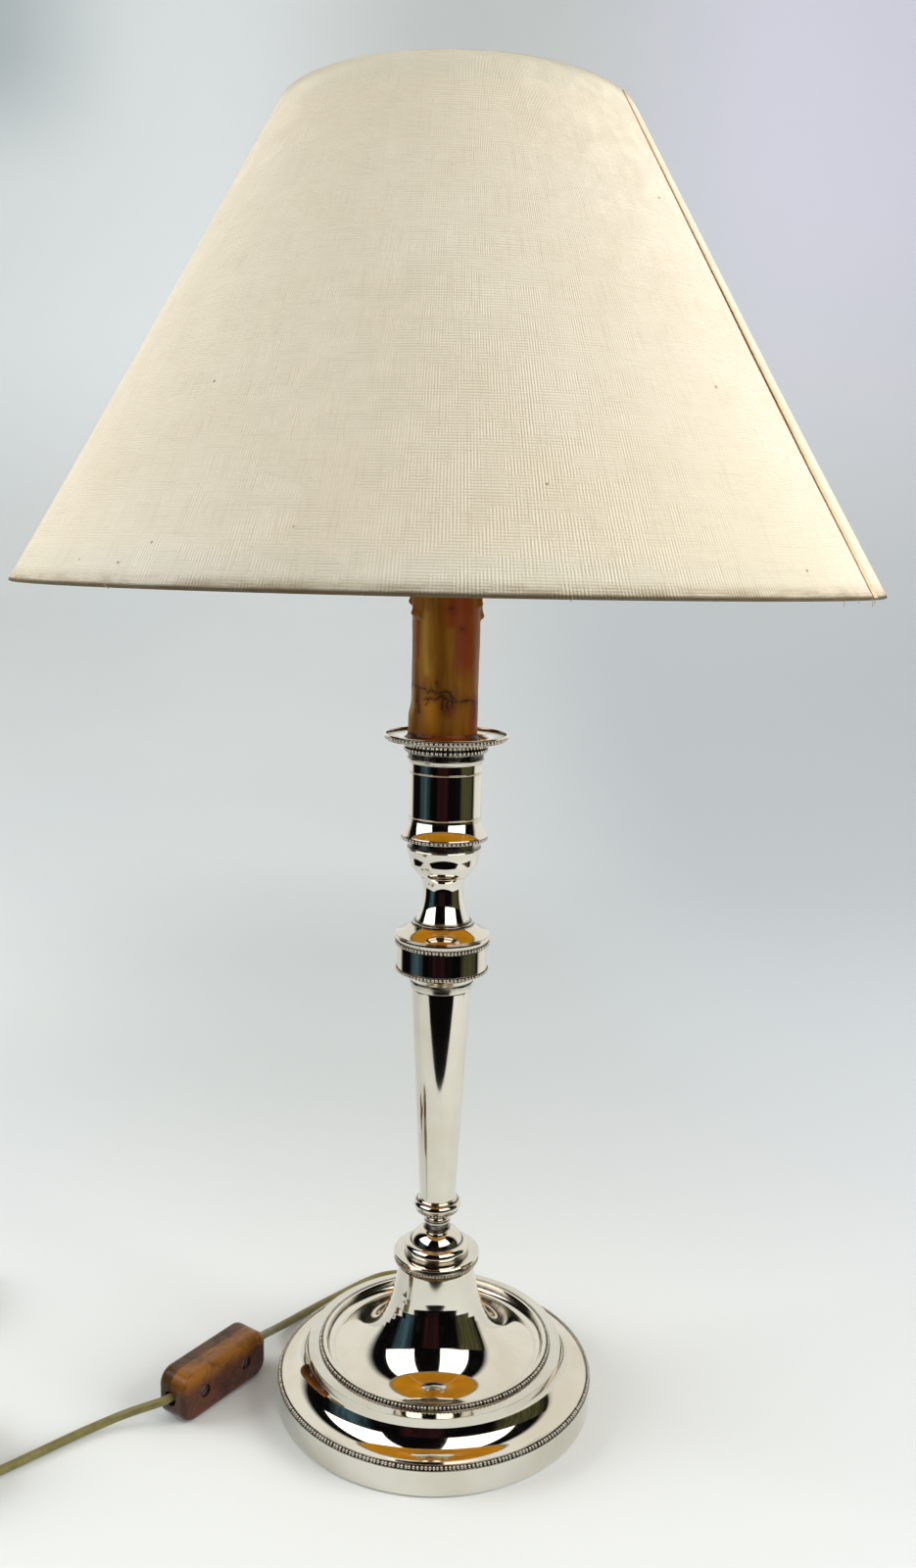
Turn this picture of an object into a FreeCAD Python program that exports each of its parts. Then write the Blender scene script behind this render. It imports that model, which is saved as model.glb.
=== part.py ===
import FreeCAD, Part
import math
import os
import Sketcher

# Candlestick lamp. Millimetres, +Z up, the origin at the centre of the foot on the table.
# The stem is a stack of turned pieces on one threaded tube; each piece's height starts the next.

DRIVING = {
    # foot
    "foot_radius": (70.3, "foot wall, radius at the floor"),
    "foot_batter": (0.3, "foot wall, lean over its height"),
    "foot_lift": (0.5, "foot rim above the floor"),
    "shell_wall": (1.2, "spun sheet of the foot"),
    "outer_seat": (11.4, "height of the outer bead seat"),
    "outer_bead_inset": (0.75, "outer bead row inside the foot wall"),
    "outer_bead": (0.85, "outer bead, radius"),
    "plate_height": (12.8, "flat of the lower tier"),
    "cove_start": (66.6, "radius where the cove begins"),
    "cove_rise": (0.1, "rise of the lower tier up to the cove"),
    "tier_radius": (56.8, "upper tier, radius above the cove"),
    "tier_cove_top": (21.4, "height where the cove ends"),
    "tier_top_radius": (56.5, "upper tier, radius at its top"),
    "inner_seat": (24.9, "height of the inner bead seat"),
    "inner_bead_path": (51.0, "radius of the inner bead row"),
    "inner_bead": (0.75, "inner bead, radius"),
    "dish_height": (26.4, "edge of the dish"),
    "dish_lip_radius": (48.6, "lip of the dish, inner radius"),
    "dish_lip_height": (26.6, "lip of the dish"),
    "dish_wall_radius": (47.9, "dish under its lip, radius"),
    "dish_wall_height": (24.2, "dish under its lip, height"),
    "dish_floor_radius": (44.4, "radius of the dish's lowest circle"),
    "dish_floor": (22.4, "height of the dish's lowest circle"),
    "bell_foot_radius": (29.77, "bell, radius where it steepens"),
    "bell_foot_height": (28.6, "bell, height where it steepens"),
    "bell_mid_radius": (24.15, "bell, radius at half its sweep"),
    "bell_mid_height": (35.3, "bell, height at half its sweep"),
    "bell_neck_radius": (18.2, "bell, radius where the neck begins"),
    "bell_neck_height": (52.0, "bell, height where the neck begins"),
    "bell_top_radius": (16.5, "bell, radius at its top"),
    "bell_top": (62.5, "bell, height of its top"),
    "weight_radius": (46.0, "cast weight, outer radius"),
    "weight_bore": (18.0, "cast weight, bore radius"),
    "weight_height": (10.8, "cast weight, height"),
    "weight_slot": (6.0, "slot for the cord across the weight"),
    "plate_thickness": (1.2, "bottom plate"),
    "plate_gap": (0.2, "bottom plate and pad to the foot wall"),
    "pad_thickness": (1.2, "felt pad"),
    # cord bush in the foot wall
    "bush_height": (6.2, "height of the cord's exit"),
    "bush_angle": (97.0, "direction of the exit, degrees round from +X"),
    "bush_neck": (3.3, "bush, radius in the wall"),
    "bush_hole_gap": (0.1, "bush to its hole"),
    "bush_flange": (4.5, "bush, radius of the outer flange"),
    "bush_grip": (3.6, "bush, radius of the inner flange"),
    "bush_inside": (17.0, "bush, length inside the wall"),
    "bush_outside": (2.9, "bush, length outside the wall"),
    "bush_lip": (1.4, "bush, thickness of each flange"),
    "bush_tail": (2.95, "bush, radius at both tips"),
    # tube through the stem
    "tube_radius": (4.0, "central tube, outer radius"),
    "tube_bore": (3.0, "central tube, bore radius"),
    "tube_gap": (0.2, "stem pieces to the tube"),
    "tube_below": (9.5, "tube below the bell's top"),
    "tube_above": (3.5, "tube above the candle"),
    "washer_radius": (12.0, "clamp washer"),
    "washer_thickness": (1.5, "clamp washer"),
    "nut_flats": (13.0, "clamp nut across flats"),
    "nut_height": (5.0, "clamp nut"),
    # collar on the bell
    "collar_height": (6.1, "collar"),
    "collar_foot_radius": (17.1, "collar at its foot"),
    "collar_rim_radius": (19.05, "collar at its rim"),
    "collar_bead_path": (18.2, "collar bead row"),
    "collar_bead": (0.7, "collar bead, radius"),
    "collar_bead_height": (2.6, "collar bead row above the collar's foot"),
    # lower vase: torus, dome, thin stem, knop
    "vase_height": (25.2, "lower vase"),
    "torus_radius": (14.3, "torus at its widest"),
    "torus_top_radius": (11.5, "torus where the dome starts"),
    "torus_height": (4.8, "top of the torus"),
    "dome_top": (10.6, "top of the dome"),
    "stem_radius": (5.15, "thin stem"),
    "stem_top": (13.2, "top of the thin stem"),
    "stem_ring_radius": (5.8, "ring over the thin stem"),
    "knop_bead_path": (8.9, "knop bead row"),
    "knop_bead": (0.6, "knop bead, radius"),
    "knop_bead_height": (19.6, "knop bead row above the vase's foot"),
    "knop_radius": (10.4, "knop at its widest"),
    "knop_height": (21.9, "knop's widest height above the vase's foot"),
    "knop_top_radius": (8.0, "knop at its top"),
    # column
    "column_height": (96.6, "column"),
    "column_foot_radius": (7.85, "column at its foot"),
    "column_top_radius": (12.9, "column at its top"),
    "column_wall": (1.0, "column's sheet"),
    "column_end": (2.0, "column's end discs"),
    # drum
    "drum_height": (23.6, "drum"),
    "drum_band_foot": (13.4, "band under the drum, foot radius"),
    "drum_band_top": (13.7, "band under the drum, top radius"),
    "drum_band_height": (2.8, "band under the drum"),
    "drum_radius": (19.3, "drum wall"),
    "drum_lip_radius": (20.3, "drum's lip"),
    "drum_lip": (1.0, "drum's lip, height"),
    "drum_wall": (1.2, "drum's sheet"),
    "drum_bead": (0.8, "drum bead, radius"),
    "drum_low_path": (19.25, "lower drum bead row"),
    "drum_low_height": (8.4, "lower bead row above the drum's foot"),
    "drum_high_path": (19.6, "upper drum bead row"),
    "drum_high_height": (20.1, "upper bead row above the drum's foot"),
    # waist
    "waist_height": (25.6, "waist"),
    "shoulder_radius": (19.9, "shoulder at its foot"),
    "ledge_radius": (13.1, "ledge over the shoulder"),
    "ledge_height": (5.6, "ledge above the waist's foot"),
    "waist_top_of_ledge": (11.8, "waist where it leaves the ledge"),
    "waist_radius": (8.3, "waist at its narrowest"),
    "waist_narrow_height": (18.9, "narrowest height above the waist's foot"),
    "waist_head_radius": (10.7, "waist at its head"),
    # bowl
    "bowl_height": (15.4, "bowl"),
    "bowl_radius": (15.4, "bowl at the top of its curve"),
    "bowl_curve_height": (10.0, "top of the bowl's curve"),
    "bowl_ledge_radius": (15.8, "ledge over the bowl"),
    "bowl_neck_radius": (15.2, "neck over the ledge"),
    # candle socket
    "socket_height": (33.2, "socket"),
    "socket_bead_path": (17.55, "socket bead row"),
    "socket_bead": (0.75, "socket bead, radius"),
    "socket_flare": (18.2, "socket's flare at its foot"),
    "socket_radius": (15.1, "socket wall"),
    "socket_ring": (15.45, "thin rings on the socket"),
    "socket_ring_width": (0.7, "thin rings, height"),
    "socket_low_ring": (9.6, "lower thin ring above the socket's foot"),
    "socket_high_ring": (28.5, "upper thin ring above the socket's foot"),
    "socket_mouth": (15.5, "socket at its mouth"),
    "socket_bore": (13.9, "socket bore"),
    "socket_floor": (9.0, "socket floor above its foot"),
    # drip pan
    "pan_neck_radius": (13.6, "pan's neck in the socket"),
    "pan_neck_wall": (1.2, "pan's neck, wall"),
    "pan_neck_height": (8.0, "pan's neck, depth in the socket"),
    "pan_seat_radius": (15.6, "pan on the socket's mouth"),
    "pan_low_path": (17.0, "lower pan bead row"),
    "pan_low_bead": (0.6, "lower pan bead, radius"),
    "pan_low_height": (4.5, "lower bead row above the mouth"),
    "pan_rim_path": (25.0, "rim bead row"),
    "pan_rim_bead": (0.65, "rim bead, radius"),
    "pan_rim_height": (10.1, "rim bead row above the mouth"),
    "pan_radius": (25.95, "pan at its rim"),
    "pan_top": (11.7, "rim's top above the mouth"),
    "pan_dish_radius": (17.0, "pan where its dish meets the floor"),
    "pan_floor": (9.0, "pan's floor above the mouth"),
    "pan_sheet": (1.3, "pan's sheet"),
    # candle
    "candle_height": (77.8, "candle above the pan's floor"),
    "candle_radius": (14.1, "candle"),
    "candle_wall": (1.4, "candle's tube with its wax"),
    "wax_foot_radius": (16.3, "pool of wax at the foot"),
    "wax_foot_height": (1.5, "pool of wax"),
    "candle_shift": (0.9, "candle stands off the axis towards -X"),
    # lampholder
    "cap_height": (13.0, "holder cap"),
    "cap_radius": (13.0, "holder cap"),
    "cap_wall": (1.4, "holder cap"),
    "cap_floor": (2.4, "holder cap's floor"),
    "thread_gap": (0.05, "threaded pieces to their partners"),
    "skirt_height": (24.0, "holder skirt"),
    "skirt_foot_radius": (13.4, "skirt under its flange"),
    "skirt_radius": (13.75, "skirt's outside thread"),
    "skirt_wall": (1.35, "skirt"),
    "flange_radius": (17.0, "flange that carries the shade"),
    "flange_height": (4.0, "flange above the skirt's foot"),
    "flange_thickness": (3.0, "flange"),
    "insert_radius": (11.5, "insulating core"),
    "insert_height": (31.0, "insulating core"),
    "insert_cavity": (9.0, "wiring space under the core, radius"),
    "insert_cavity_height": (3.5, "wiring space under the core"),
    "insert_floor": (3.0, "core's floor"),
    "contact_shank": (2.8, "centre contact in the core"),
    "contact_gap": (0.2, "centre contact to the core"),
    "contact_leaf": (4.5, "centre contact's leaf"),
    "contact_leaf_height": (1.0, "centre contact's leaf"),
    "socket_thread": (7.1, "thread shell, bore"),
    "thread_sheet": (0.25, "thread shell's sheet"),
    "thread_shell_height": (23.0, "thread shell"),
    "terminal_offset": (6.7, "terminal screws from the axis"),
    "terminal_head": (1.8, "terminal screw head, radius"),
    "terminal_length": (1.6, "terminal screw head, height"),
    # lamp
    "moving_gap": (0.3, "clearance between pieces that move apart"),
    "bulb_contact_height": (1.2, "lamp's end contact"),
    "bulb_contact_radius": (2.4, "lamp's end contact"),
    "bulb_insulator_height": (2.4, "lamp's black insulator"),
    "bulb_cap_foot": (6.0, "lamp cap at its foot"),
    "bulb_cap_radius": (6.8, "lamp cap's thread"),
    "bulb_cap_height": (20.0, "lamp cap"),
    "bulb_cap_sheet": (0.4, "lamp cap's sheet"),
    "bulb_neck": (6.1, "glass inside the cap"),
    "bulb_overlap": (5.0, "glass inside the cap, depth"),
    "bulb_radius": (17.5, "glass at its widest"),
    "bulb_belly_height": (34.0, "glass's widest height"),
    "bulb_height": (80.0, "glass"),
    "bulb_glass": (0.8, "glass wall"),
    "mount_height": (22.0, "glass mount inside the lamp"),
    "mount_radius": (1.8, "glass mount at its top"),
    "filament_spread": (6.0, "filament's half width"),
    "filament_rise": (15.0, "filament above its mount"),
    "filament_wire": (0.3, "filament wire, radius"),
    # shade
    "shade_drop": (35.1, "shade's lower edge below the fitter ring"),
    "shade_rise": (177.6, "shade's height"),
    "shade_bottom_radius": (170.0, "shade's lower edge"),
    "shade_top_radius": (68.4, "shade's upper edge"),
    "cover_thickness": (0.8, "linen on its stiff lining"),
    "hem_thickness": (0.4, "turned-in hem"),
    "hem_height": (10.0, "turned-in hem"),
    "hem_gap": (0.05, "glue between the hem and its neighbours"),
    "wire_radius": (1.5, "shade wire, radius"),
    "wire_inset": (3.4, "shade wire from the edge along the slope"),
    "fitter_hole": (14.75, "fitter ring, hole radius"),
    "fitter_radius": (20.0, "fitter ring"),
    "fitter_thickness": (1.2, "fitter ring"),
    "fitter_lap": (1.0, "spider arm on the fitter ring"),
    "arm_radius": (1.5, "spider arm, radius"),
    "arm_first_angle": (90.0, "first spider arm, degrees round from +X"),
    "ring_nut_height": (4.0, "shade ring nut"),
    "ring_nut_radius": (15.4, "shade ring nut's body"),
    "ring_nut_flange": (17.0, "shade ring nut's flange"),
    "ring_nut_flange_height": (1.4, "shade ring nut's flange"),
    # cord
    "cord_radius": (2.25, "cord, radius"),
    "cord_clearance": (0.1, "cord in its holes"),
    "floor_gap": (0.05, "cord above the table"),
    "coil_gap": (0.5, "between the turns of the coil"),
    "coil_radius": (30.0, "outermost turn of the coil, centre line"),
    "coil_turns": (2.34, "turns in each of the coil's layers"),
    "coil_start_x": (-196.0, "start of the coil"),
    "coil_start_y": (-82.0, "start of the coil"),
    "coil_heading": (224.0, "direction of the cord at the coil's start, degrees"),
    "tie_width": (5.0, "tie round the coil"),
    "tie_thickness": (0.8, "tie round the coil"),
    "tie_gap": (0.5, "tie to the cord"),
    "tie_angle": (85.0, "place of the tie round the coil, degrees"),
    # switch in the cord
    "switch_length": (51.0, "switch"),
    "switch_width": (22.0, "switch, its upright side"),
    "switch_front": (8.5, "front half's thickness"),
    "switch_back": (7.5, "back half's thickness"),
    "switch_corner": (7.0, "switch's corners"),
    "switch_edge": (2.6, "rounding of the switch's faces"),
    "switch_wall": (2.0, "switch's walls"),
    "switch_entry": (3.3, "cord's way into the switch, radius"),
    "switch_boss": (3.2, "screw posts, radius"),
    "switch_x": (-99.1, "switch's centre"),
    "switch_y": (-5.7, "switch's centre"),
    "switch_heading": (54.8, "direction of the switch, degrees round from +X"),
    "screw_spacing": (25.0, "between the switch's screws"),
    "screw_radius": (1.45, "screw shank"),
    "screw_head_radius": (2.6, "screw head"),
    "screw_head_height": (1.5, "screw head"),
    "screw_sink": (2.6, "depth of the screw's recess"),
    "screw_gap": (0.1, "screw in its holes"),
    "screw_slot": (0.7, "screw slot, width"),
    "screw_slot_depth": (0.7, "screw slot, depth"),
    "rocker_half_length": (9.2, "rocker, half length"),
    "rocker_width": (10.0, "rocker, width"),
    "rocker_crown": (4.6, "rocker's ends above its pin"),
    "rocker_dip": (3.4, "rocker's middle above its pin"),
    "rocker_depth": (1.8, "rocker below its pin"),
    "rocker_tilt": (8.0, "rocker from level, degrees"),
    "rocker_pin_depth": (3.2, "pin below the switch's back face"),
    "pin_radius": (1.0, "rocker pin"),
    "pin_clearance": (0.05, "rocker pin in the rocker"),
    "window_end_gap": (0.85, "window beyond the rocker's ends"),
    "window_side_gap": (0.4, "window beyond the rocker's sides"),
    "terminal_block": (4.0, "switch terminals, width and height"),
    "terminal_block_length": (6.5, "switch terminals, length"),
    # plug
    "plug_length": (36.0, "plug body"),
    "plug_front": (26.0, "plug body, width at the pins"),
    "plug_rear": (14.0, "plug body, width at the cord"),
    "plug_height": (13.7, "plug body, thickness"),
    "plug_edge": (3.0, "rounding of the plug"),
    "plug_x": (-248.5, "plug's cord end"),
    "plug_y": (28.0, "plug's cord end"),
    "plug_heading": (86.0, "direction of the plug's pins, degrees"),
    "plug_sleeve": (22.0, "strain relief on the plug"),
    "plug_sleeve_radius": (4.6, "strain relief at the plug"),
    "plug_sleeve_tip": (3.0, "strain relief at its tip"),
    "plug_pin_radius": (2.0, "plug pin"),
    "plug_pin_length": (19.0, "plug pin"),
    "plug_pin_spacing": (18.6, "between the plug's pins"),
}

# The cord's route on the table, centre line, chosen by hand. The first list runs from the bush
# to the switch, the second from the switch to the coil, the third from the coil to the plug.
LEAD_ROUTE = [
    (-9.7, 79.2, 6.0),
    (-14.0, 86.0, 4.7),
    (-21.8, 89.8, 3.2),
    (-30.4, 88.3, 2.4),
    (-38.4, 81.9, 2.3),
    (-48.0, 71.8, 2.3),
    (-60.2, 59.4, 2.3),
    (-72.4, 45.6, 2.35),
    (-78.4, 36.0, 3.8),
    (-80.4, 26.6, 8.2),
]
RUN_ROUTE = [
    (-122.2, -29.3, 9.4),
    (-132.6, -28.9, 5.2),
    (-142.8, -32.4, 2.7),
    (-151.6, -39.2, 2.3),
    (-162.0, -48.8, 2.3),
    (-175.4, -61.2, 2.3),
]
TAIL_ROUTE = [
    (-250.4, -41.0, 17.1),
    (-251.0, -28.0, 13.6),
    (-250.4, -14.0, 8.4),
]
SWITCH_LEAD_OUT = 3.5
SWITCH_RUN_OUT = 0.6
SWITCH_CORD_IN = 8.6
COIL_RUN_IN = 14.0
COIL_RUN_OUT = 12.0
PLUG_RUN_IN = 12.0
COIL_LAYERS = 4
COIL_STEPS = 8
ARC_SHARE = 0.45

doc = FreeCAD.newDocument("candlestick_lamp")
sheet = doc.addObject("Spreadsheet::Sheet", "Sizes")


class Size:
    """A number of the sheet, or worked out from it, with the expression that binds it."""

    def __init__(self, value, text):
        self.value = float(value)
        self.text = text

    def __add__(self, other):
        return join(self, "+", other)

    def __radd__(self, other):
        return join(other, "+", self)

    def __sub__(self, other):
        return join(self, "-", other)

    def __rsub__(self, other):
        return join(other, "-", self)

    def __mul__(self, other):
        return join(self, "*", other)

    def __rmul__(self, other):
        return join(other, "*", self)

    def __truediv__(self, other):
        return join(self, "/", other)


def as_size(number):
    return number if isinstance(number, Size) else Size(number, repr(float(number)))


def join(left, sign, right):
    left, right = as_size(left), as_size(right)
    results = {
        "+": left.value + right.value,
        "-": left.value - right.value,
        "*": left.value * right.value,
        "/": left.value / right.value if right.value else 0.0,
    }
    return Size(results[sign], f"({left.text} {sign} {right.text})")


def root_of(number):
    return Size(math.sqrt(number.value), f"sqrt({number.text})")


class SheetSizes:
    """The driving sizes by name."""


S = SheetSizes()
for row, (alias, (number, meaning)) in enumerate(DRIVING.items(), start=1):
    sheet.set(f"A{row}", meaning)
    sheet.set(f"B{row}", str(number))
    sheet.setAlias(f"B{row}", alias)
    setattr(S, alias, Size(number, f"Sizes.{alias}"))
doc.recompute()


# ---------------------------------------------------------------- helpers for bodies


def origin_plane(body, role):
    return next(part for part in body.Origin.OriginFeatures if part.Role == role)


def new_body(label):
    body = doc.addObject("PartDesign::Body", label)
    body.Label = label
    return body


def new_sketch(body, name, role):
    sketch = body.newObject("Sketcher::SketchObject", name)
    sketch.AttachmentSupport = (origin_plane(body, role), [""])
    sketch.MapMode = "FlatFace"
    return sketch


def place(thing, x=0.0, y=0.0, z=0.0, rotation=None):
    """Puts a piece, with its place bound to the sheet."""
    x, y, z = as_size(x), as_size(y), as_size(z)
    thing.Placement = FreeCAD.Placement(
        FreeCAD.Vector(x.value, y.value, z.value), rotation or FreeCAD.Rotation()
    )
    for axis, number in zip("xyz", (x, y, z)):
        if "Sizes." in number.text:
            thing.setExpression(f"Placement.Base.{axis}", number.text)


def arc_between(start, end, turn):
    """A counter-clockwise sketch arc from start to end, and whether its ends are swapped."""
    if turn < 0:
        start, end = end, start
    half = math.radians(abs(turn)) / 2
    chord = end - start
    radius = chord.Length / (2 * math.sin(half))
    normal = FreeCAD.Vector(-chord.y, chord.x, 0).normalize()
    centre = start + chord * 0.5 + normal * (radius * math.cos(half))
    first = math.atan2(start.y - centre.y, start.x - centre.x)
    circle = Part.Circle(centre, FreeCAD.Vector(0, 0, 1), radius)
    return Part.ArcOfCircle(circle, first, first + 2 * half), turn < 0


def draw_outline(sketch, corners):
    """Draws a closed outline. A corner is (x, y), or (x, y, turn) where an arc leads on from it:
    its turn is in degrees, positive to the left. Every corner and radius is bound to the sheet."""
    first = sketch.GeometryCount
    points = [(as_size(corner[0]), as_size(corner[1])) for corner in corners]
    turns = [corner[2] if len(corner) > 2 else 0.0 for corner in corners]
    count = len(corners)
    starts, ends, radii = [], [], []
    for i in range(count):
        here = FreeCAD.Vector(points[i][0].value, points[i][1].value, 0)
        onward = points[(i + 1) % count]
        there = FreeCAD.Vector(onward[0].value, onward[1].value, 0)
        swapped = False
        if turns[i]:
            curve, swapped = arc_between(here, there, turns[i])
            radii.append(i)
        else:
            curve = Part.LineSegment(here, there)
        sketch.addGeometry(curve, False)
        starts.append(2 if swapped else 1)
        ends.append(1 if swapped else 2)
    ties, bound = [], []
    for i in range(count):
        following = (i + 1) % count
        ties.append(
            Sketcher.Constraint(
                "Coincident", first + i, ends[i], first + following, starts[following]
            )
        )
    base = sketch.ConstraintCount
    for i, (x, y) in enumerate(points):
        for kind, axis, number in (("DistanceX", -2, x), ("DistanceY", -1, y)):
            if number.value == 0 and "Sizes." not in number.text:
                ties.append(Sketcher.Constraint("PointOnObject", first + i, starts[i], axis))
                continue
            bound.append((base + len(ties), number.text))
            ties.append(Sketcher.Constraint(kind, -1, 1, first + i, starts[i], number.value))
    for i in radii:
        dx = points[(i + 1) % count][0] - points[i][0]
        dy = points[(i + 1) % count][1] - points[i][1]
        sine = 2 * math.sin(math.radians(abs(turns[i])) / 2)
        radius = root_of(dx * dx + dy * dy) / sine
        bound.append((base + len(ties), radius.text))
        ties.append(Sketcher.Constraint("Radius", first + i, radius.value))
    sketch.addConstraint(ties)
    for index, text in bound:
        if "Sizes." in text:
            sketch.setExpression(f"Constraints[{index}]", text)


def draw_circle(sketch, x, y, radius):
    """Draws a circle whose centre and radius are bound to the sheet."""
    x, y, radius = as_size(x), as_size(y), as_size(radius)
    index = sketch.addGeometry(
        Part.Circle(FreeCAD.Vector(x.value, y.value, 0), FreeCAD.Vector(0, 0, 1), radius.value)
    )
    for kind, axis, number in (("DistanceX", -2, x), ("DistanceY", -1, y)):
        if number.value == 0 and "Sizes." not in number.text:
            sketch.addConstraint(Sketcher.Constraint("PointOnObject", index, 3, axis))
            continue
        tie = sketch.addConstraint(Sketcher.Constraint(kind, -1, 1, index, 3, number.value))
        if "Sizes." in number.text:
            sketch.setExpression(f"Constraints[{tie}]", number.text)
    tie = sketch.addConstraint(Sketcher.Constraint("Radius", index, radius.value))
    if "Sizes." in radius.text:
        sketch.setExpression(f"Constraints[{tie}]", radius.text)


def rounded_corners(length, width, corner):
    """Corners of a rounded rectangle about the origin, counter-clockwise."""
    x, y = length / 2, width / 2
    return [
        (corner - x, 0 - y),
        (x - corner, 0 - y, 90),
        (x, corner - y),
        (x, y - corner, 90),
        (x - corner, y),
        (corner - x, y, 90),
        (0 - x, y - corner),
        (0 - x, corner - y, 90),
    ]


def turned(label, corners, z=0.0, x=0.0, y=0.0, rotation=None):
    """A piece turned about its own Z axis from an outline of radius and height."""
    body = new_body(label)
    sketch = new_sketch(body, f"{label}_outline", "XZ_Plane")
    draw_outline(sketch, corners)
    turning = body.newObject("PartDesign::Revolution", f"{label}_turning")
    turning.Profile = sketch
    turning.ReferenceAxis = (sketch, ["V_Axis"])
    turning.Angle = 360
    sketch.Visibility = False
    place(body, x, y, z, rotation)
    return body


def bead_ring(label, path, bead, z):
    """A beaded wire: flat where it is let in, bevelled outside. z is its underside."""
    bevel = bead * 0.6
    return turned(
        label,
        [
            (path - bead, 0),
            (path + bead - bevel, 0),
            (path + bead, bevel),
            (path + bead, bead * 2 - bevel),
            (path + bead - bevel, bead * 2),
            (path - bead, bead * 2),
        ],
        z,
    )


def padded_out(body, sketch, name, depth, reverse=False):
    pad = body.newObject("PartDesign::Pad", name)
    pad.Profile = sketch
    pad.Length = as_size(depth).value
    pad.setExpression("Length", as_size(depth).text)
    pad.Reversed = reverse
    return pad


def cut_in(body, sketch, name, depth, towards):
    """A pocket that has to take material away; its direction is tried both ways."""
    before = doc_volume(body)
    pocket = body.newObject("PartDesign::Pocket", name)
    pocket.Profile = sketch
    pocket.Length = as_size(depth).value
    pocket.setExpression("Length", as_size(depth).text)
    for reverse in (False, True):
        pocket.Reversed = reverse
        doc.recompute()
        inside = pocket.Shape.isInside(towards, 0.01, False)
        if pocket.Shape.Volume < before - 1e-3 and not inside:
            return pocket
    raise RuntimeError(f"{name} cuts nothing")


def doc_volume(body):
    doc.recompute()
    return body.Shape.Volume


def grouped(label, members):
    """Several separate solids, or solids that join, under one name."""
    group = doc.addObject("Part::MultiFuse", label)
    group.Label = label
    group.Shapes = members
    return group


def helper(kind, name, **sizes):
    """A Part primitive whose sizes are bound to the sheet."""
    thing = doc.addObject(kind, name)
    for key, number in sizes.items():
        number = as_size(number)
        setattr(thing, key, number.value)
        if "Sizes." in number.text:
            thing.setExpression(key, number.text)
    return thing


# ---------------------------------------------------------------- helpers for cords


def tangent_arc(start, corner, end):
    """The arc that leaves start towards corner and reaches end from it, and its radius."""
    middle = (start + end) * 0.5
    leg = (corner - start).Length
    half_chord = (end - start).Length / 2
    rise = math.sqrt(max(leg * leg - half_chord * half_chord, 1e-12))
    radius = leg * half_chord / rise
    sagitta = radius - math.sqrt(max(radius * radius - half_chord * half_chord, 0.0))
    top = middle + (corner - middle).normalize() * sagitta
    return Part.Arc(start, top, end).toShape(), radius


def route_edges(points):
    """Straight runs joined by arcs as large as the runs allow. Returns edges and radii."""
    edges, radii = [], []
    here = points[0]
    for i in range(1, len(points) - 1):
        back = points[i - 1] - points[i]
        on = points[i + 1] - points[i]
        leg = ARC_SHARE * min(back.Length, on.Length)
        start = points[i] + back.normalize() * leg
        end = points[i] + on.normalize() * leg
        edges.append(Part.LineSegment(here, start).toShape())
        arc, radius = tangent_arc(start, points[i], end)
        edges.append(arc)
        radii.append(radius)
        here = end
    edges.append(Part.LineSegment(here, points[-1]).toShape())
    return edges, radii


def biarc_edges(start, start_way, end, end_way):
    """Two arcs that join two points with given directions smoothly."""
    across = end - start
    ways = start_way + end_way
    spread = 2 * (1 - start_way.dot(end_way))
    lean = across.dot(ways)
    reach = (math.sqrt(lean * lean + spread * across.dot(across)) - lean) / spread
    first_corner = start + start_way * reach
    second_corner = end - end_way * reach
    joint = (first_corner + second_corner) * 0.5
    first, _ = tangent_arc(start, first_corner, joint)
    second, _ = tangent_arc(joint, second_corner, end)
    return [first, second]


def tube_along(edges, radius):
    """A round solid along a smooth wire."""
    wire = Part.Wire(edges)
    first = edges[0]
    start = first.valueAt(first.FirstParameter)
    way = first.tangentAt(first.FirstParameter)
    ring = Part.Wire([Part.Circle(start, way, radius).toShape()])
    shell = Part.BRepOffsetAPI.MakePipeShell(wire)
    shell.add(ring)
    shell.build()
    shell.makeSolid()
    solid = shell.shape()
    solid = solid.Solids[0] if solid.Solids else Part.Solid(solid)
    expected = math.pi * radius * radius * wire.Length
    return solid, wire.Length, solid.Volume / expected


def cord_piece(label, edges, radii=None):
    """A stretch of cord as one tube; its length and radii are printed."""
    solid, length, share = tube_along(edges, S.cord_radius.value)
    piece = doc.addObject("Part::Feature", label)
    piece.Label = label
    piece.Shape = solid
    piece.Placement = FreeCAD.Placement()
    text = f"{label}: length {length:.1f} mm, volume {share:.4f} of section times length"
    if radii:
        text += ", radii " + " ".join(f"{radius:.1f}" for radius in radii)
    print(text)
    return piece


def flat_way(degrees):
    angle = math.radians(degrees)
    return FreeCAD.Vector(math.cos(angle), math.sin(angle), 0)


# ---------------------------------------------------------------- heights of the stack

hole = S.tube_radius + S.tube_gap
foot_top = S.foot_radius - S.foot_batter
outer_path = foot_top - S.outer_bead_inset
z_collar = S.bell_top
z_vase = z_collar + S.collar_height
z_column = z_vase + S.vase_height
z_drum = z_column + S.column_height
z_waist = z_drum + S.drum_height
z_bowl = z_waist + S.waist_height
z_socket = z_bowl + S.bowl_height
z_mouth = z_socket + S.socket_height
z_candle = z_mouth + S.pan_floor
z_holder = z_candle + S.candle_height
z_skirt = z_holder + S.cap_height
z_core = z_holder + S.cap_floor
z_flange_top = z_skirt + S.flange_height + S.flange_thickness
z_fitter = z_flange_top + S.moving_gap
shade_bottom = z_fitter - S.shade_drop


# ---------------------------------------------------------------- foot


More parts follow.
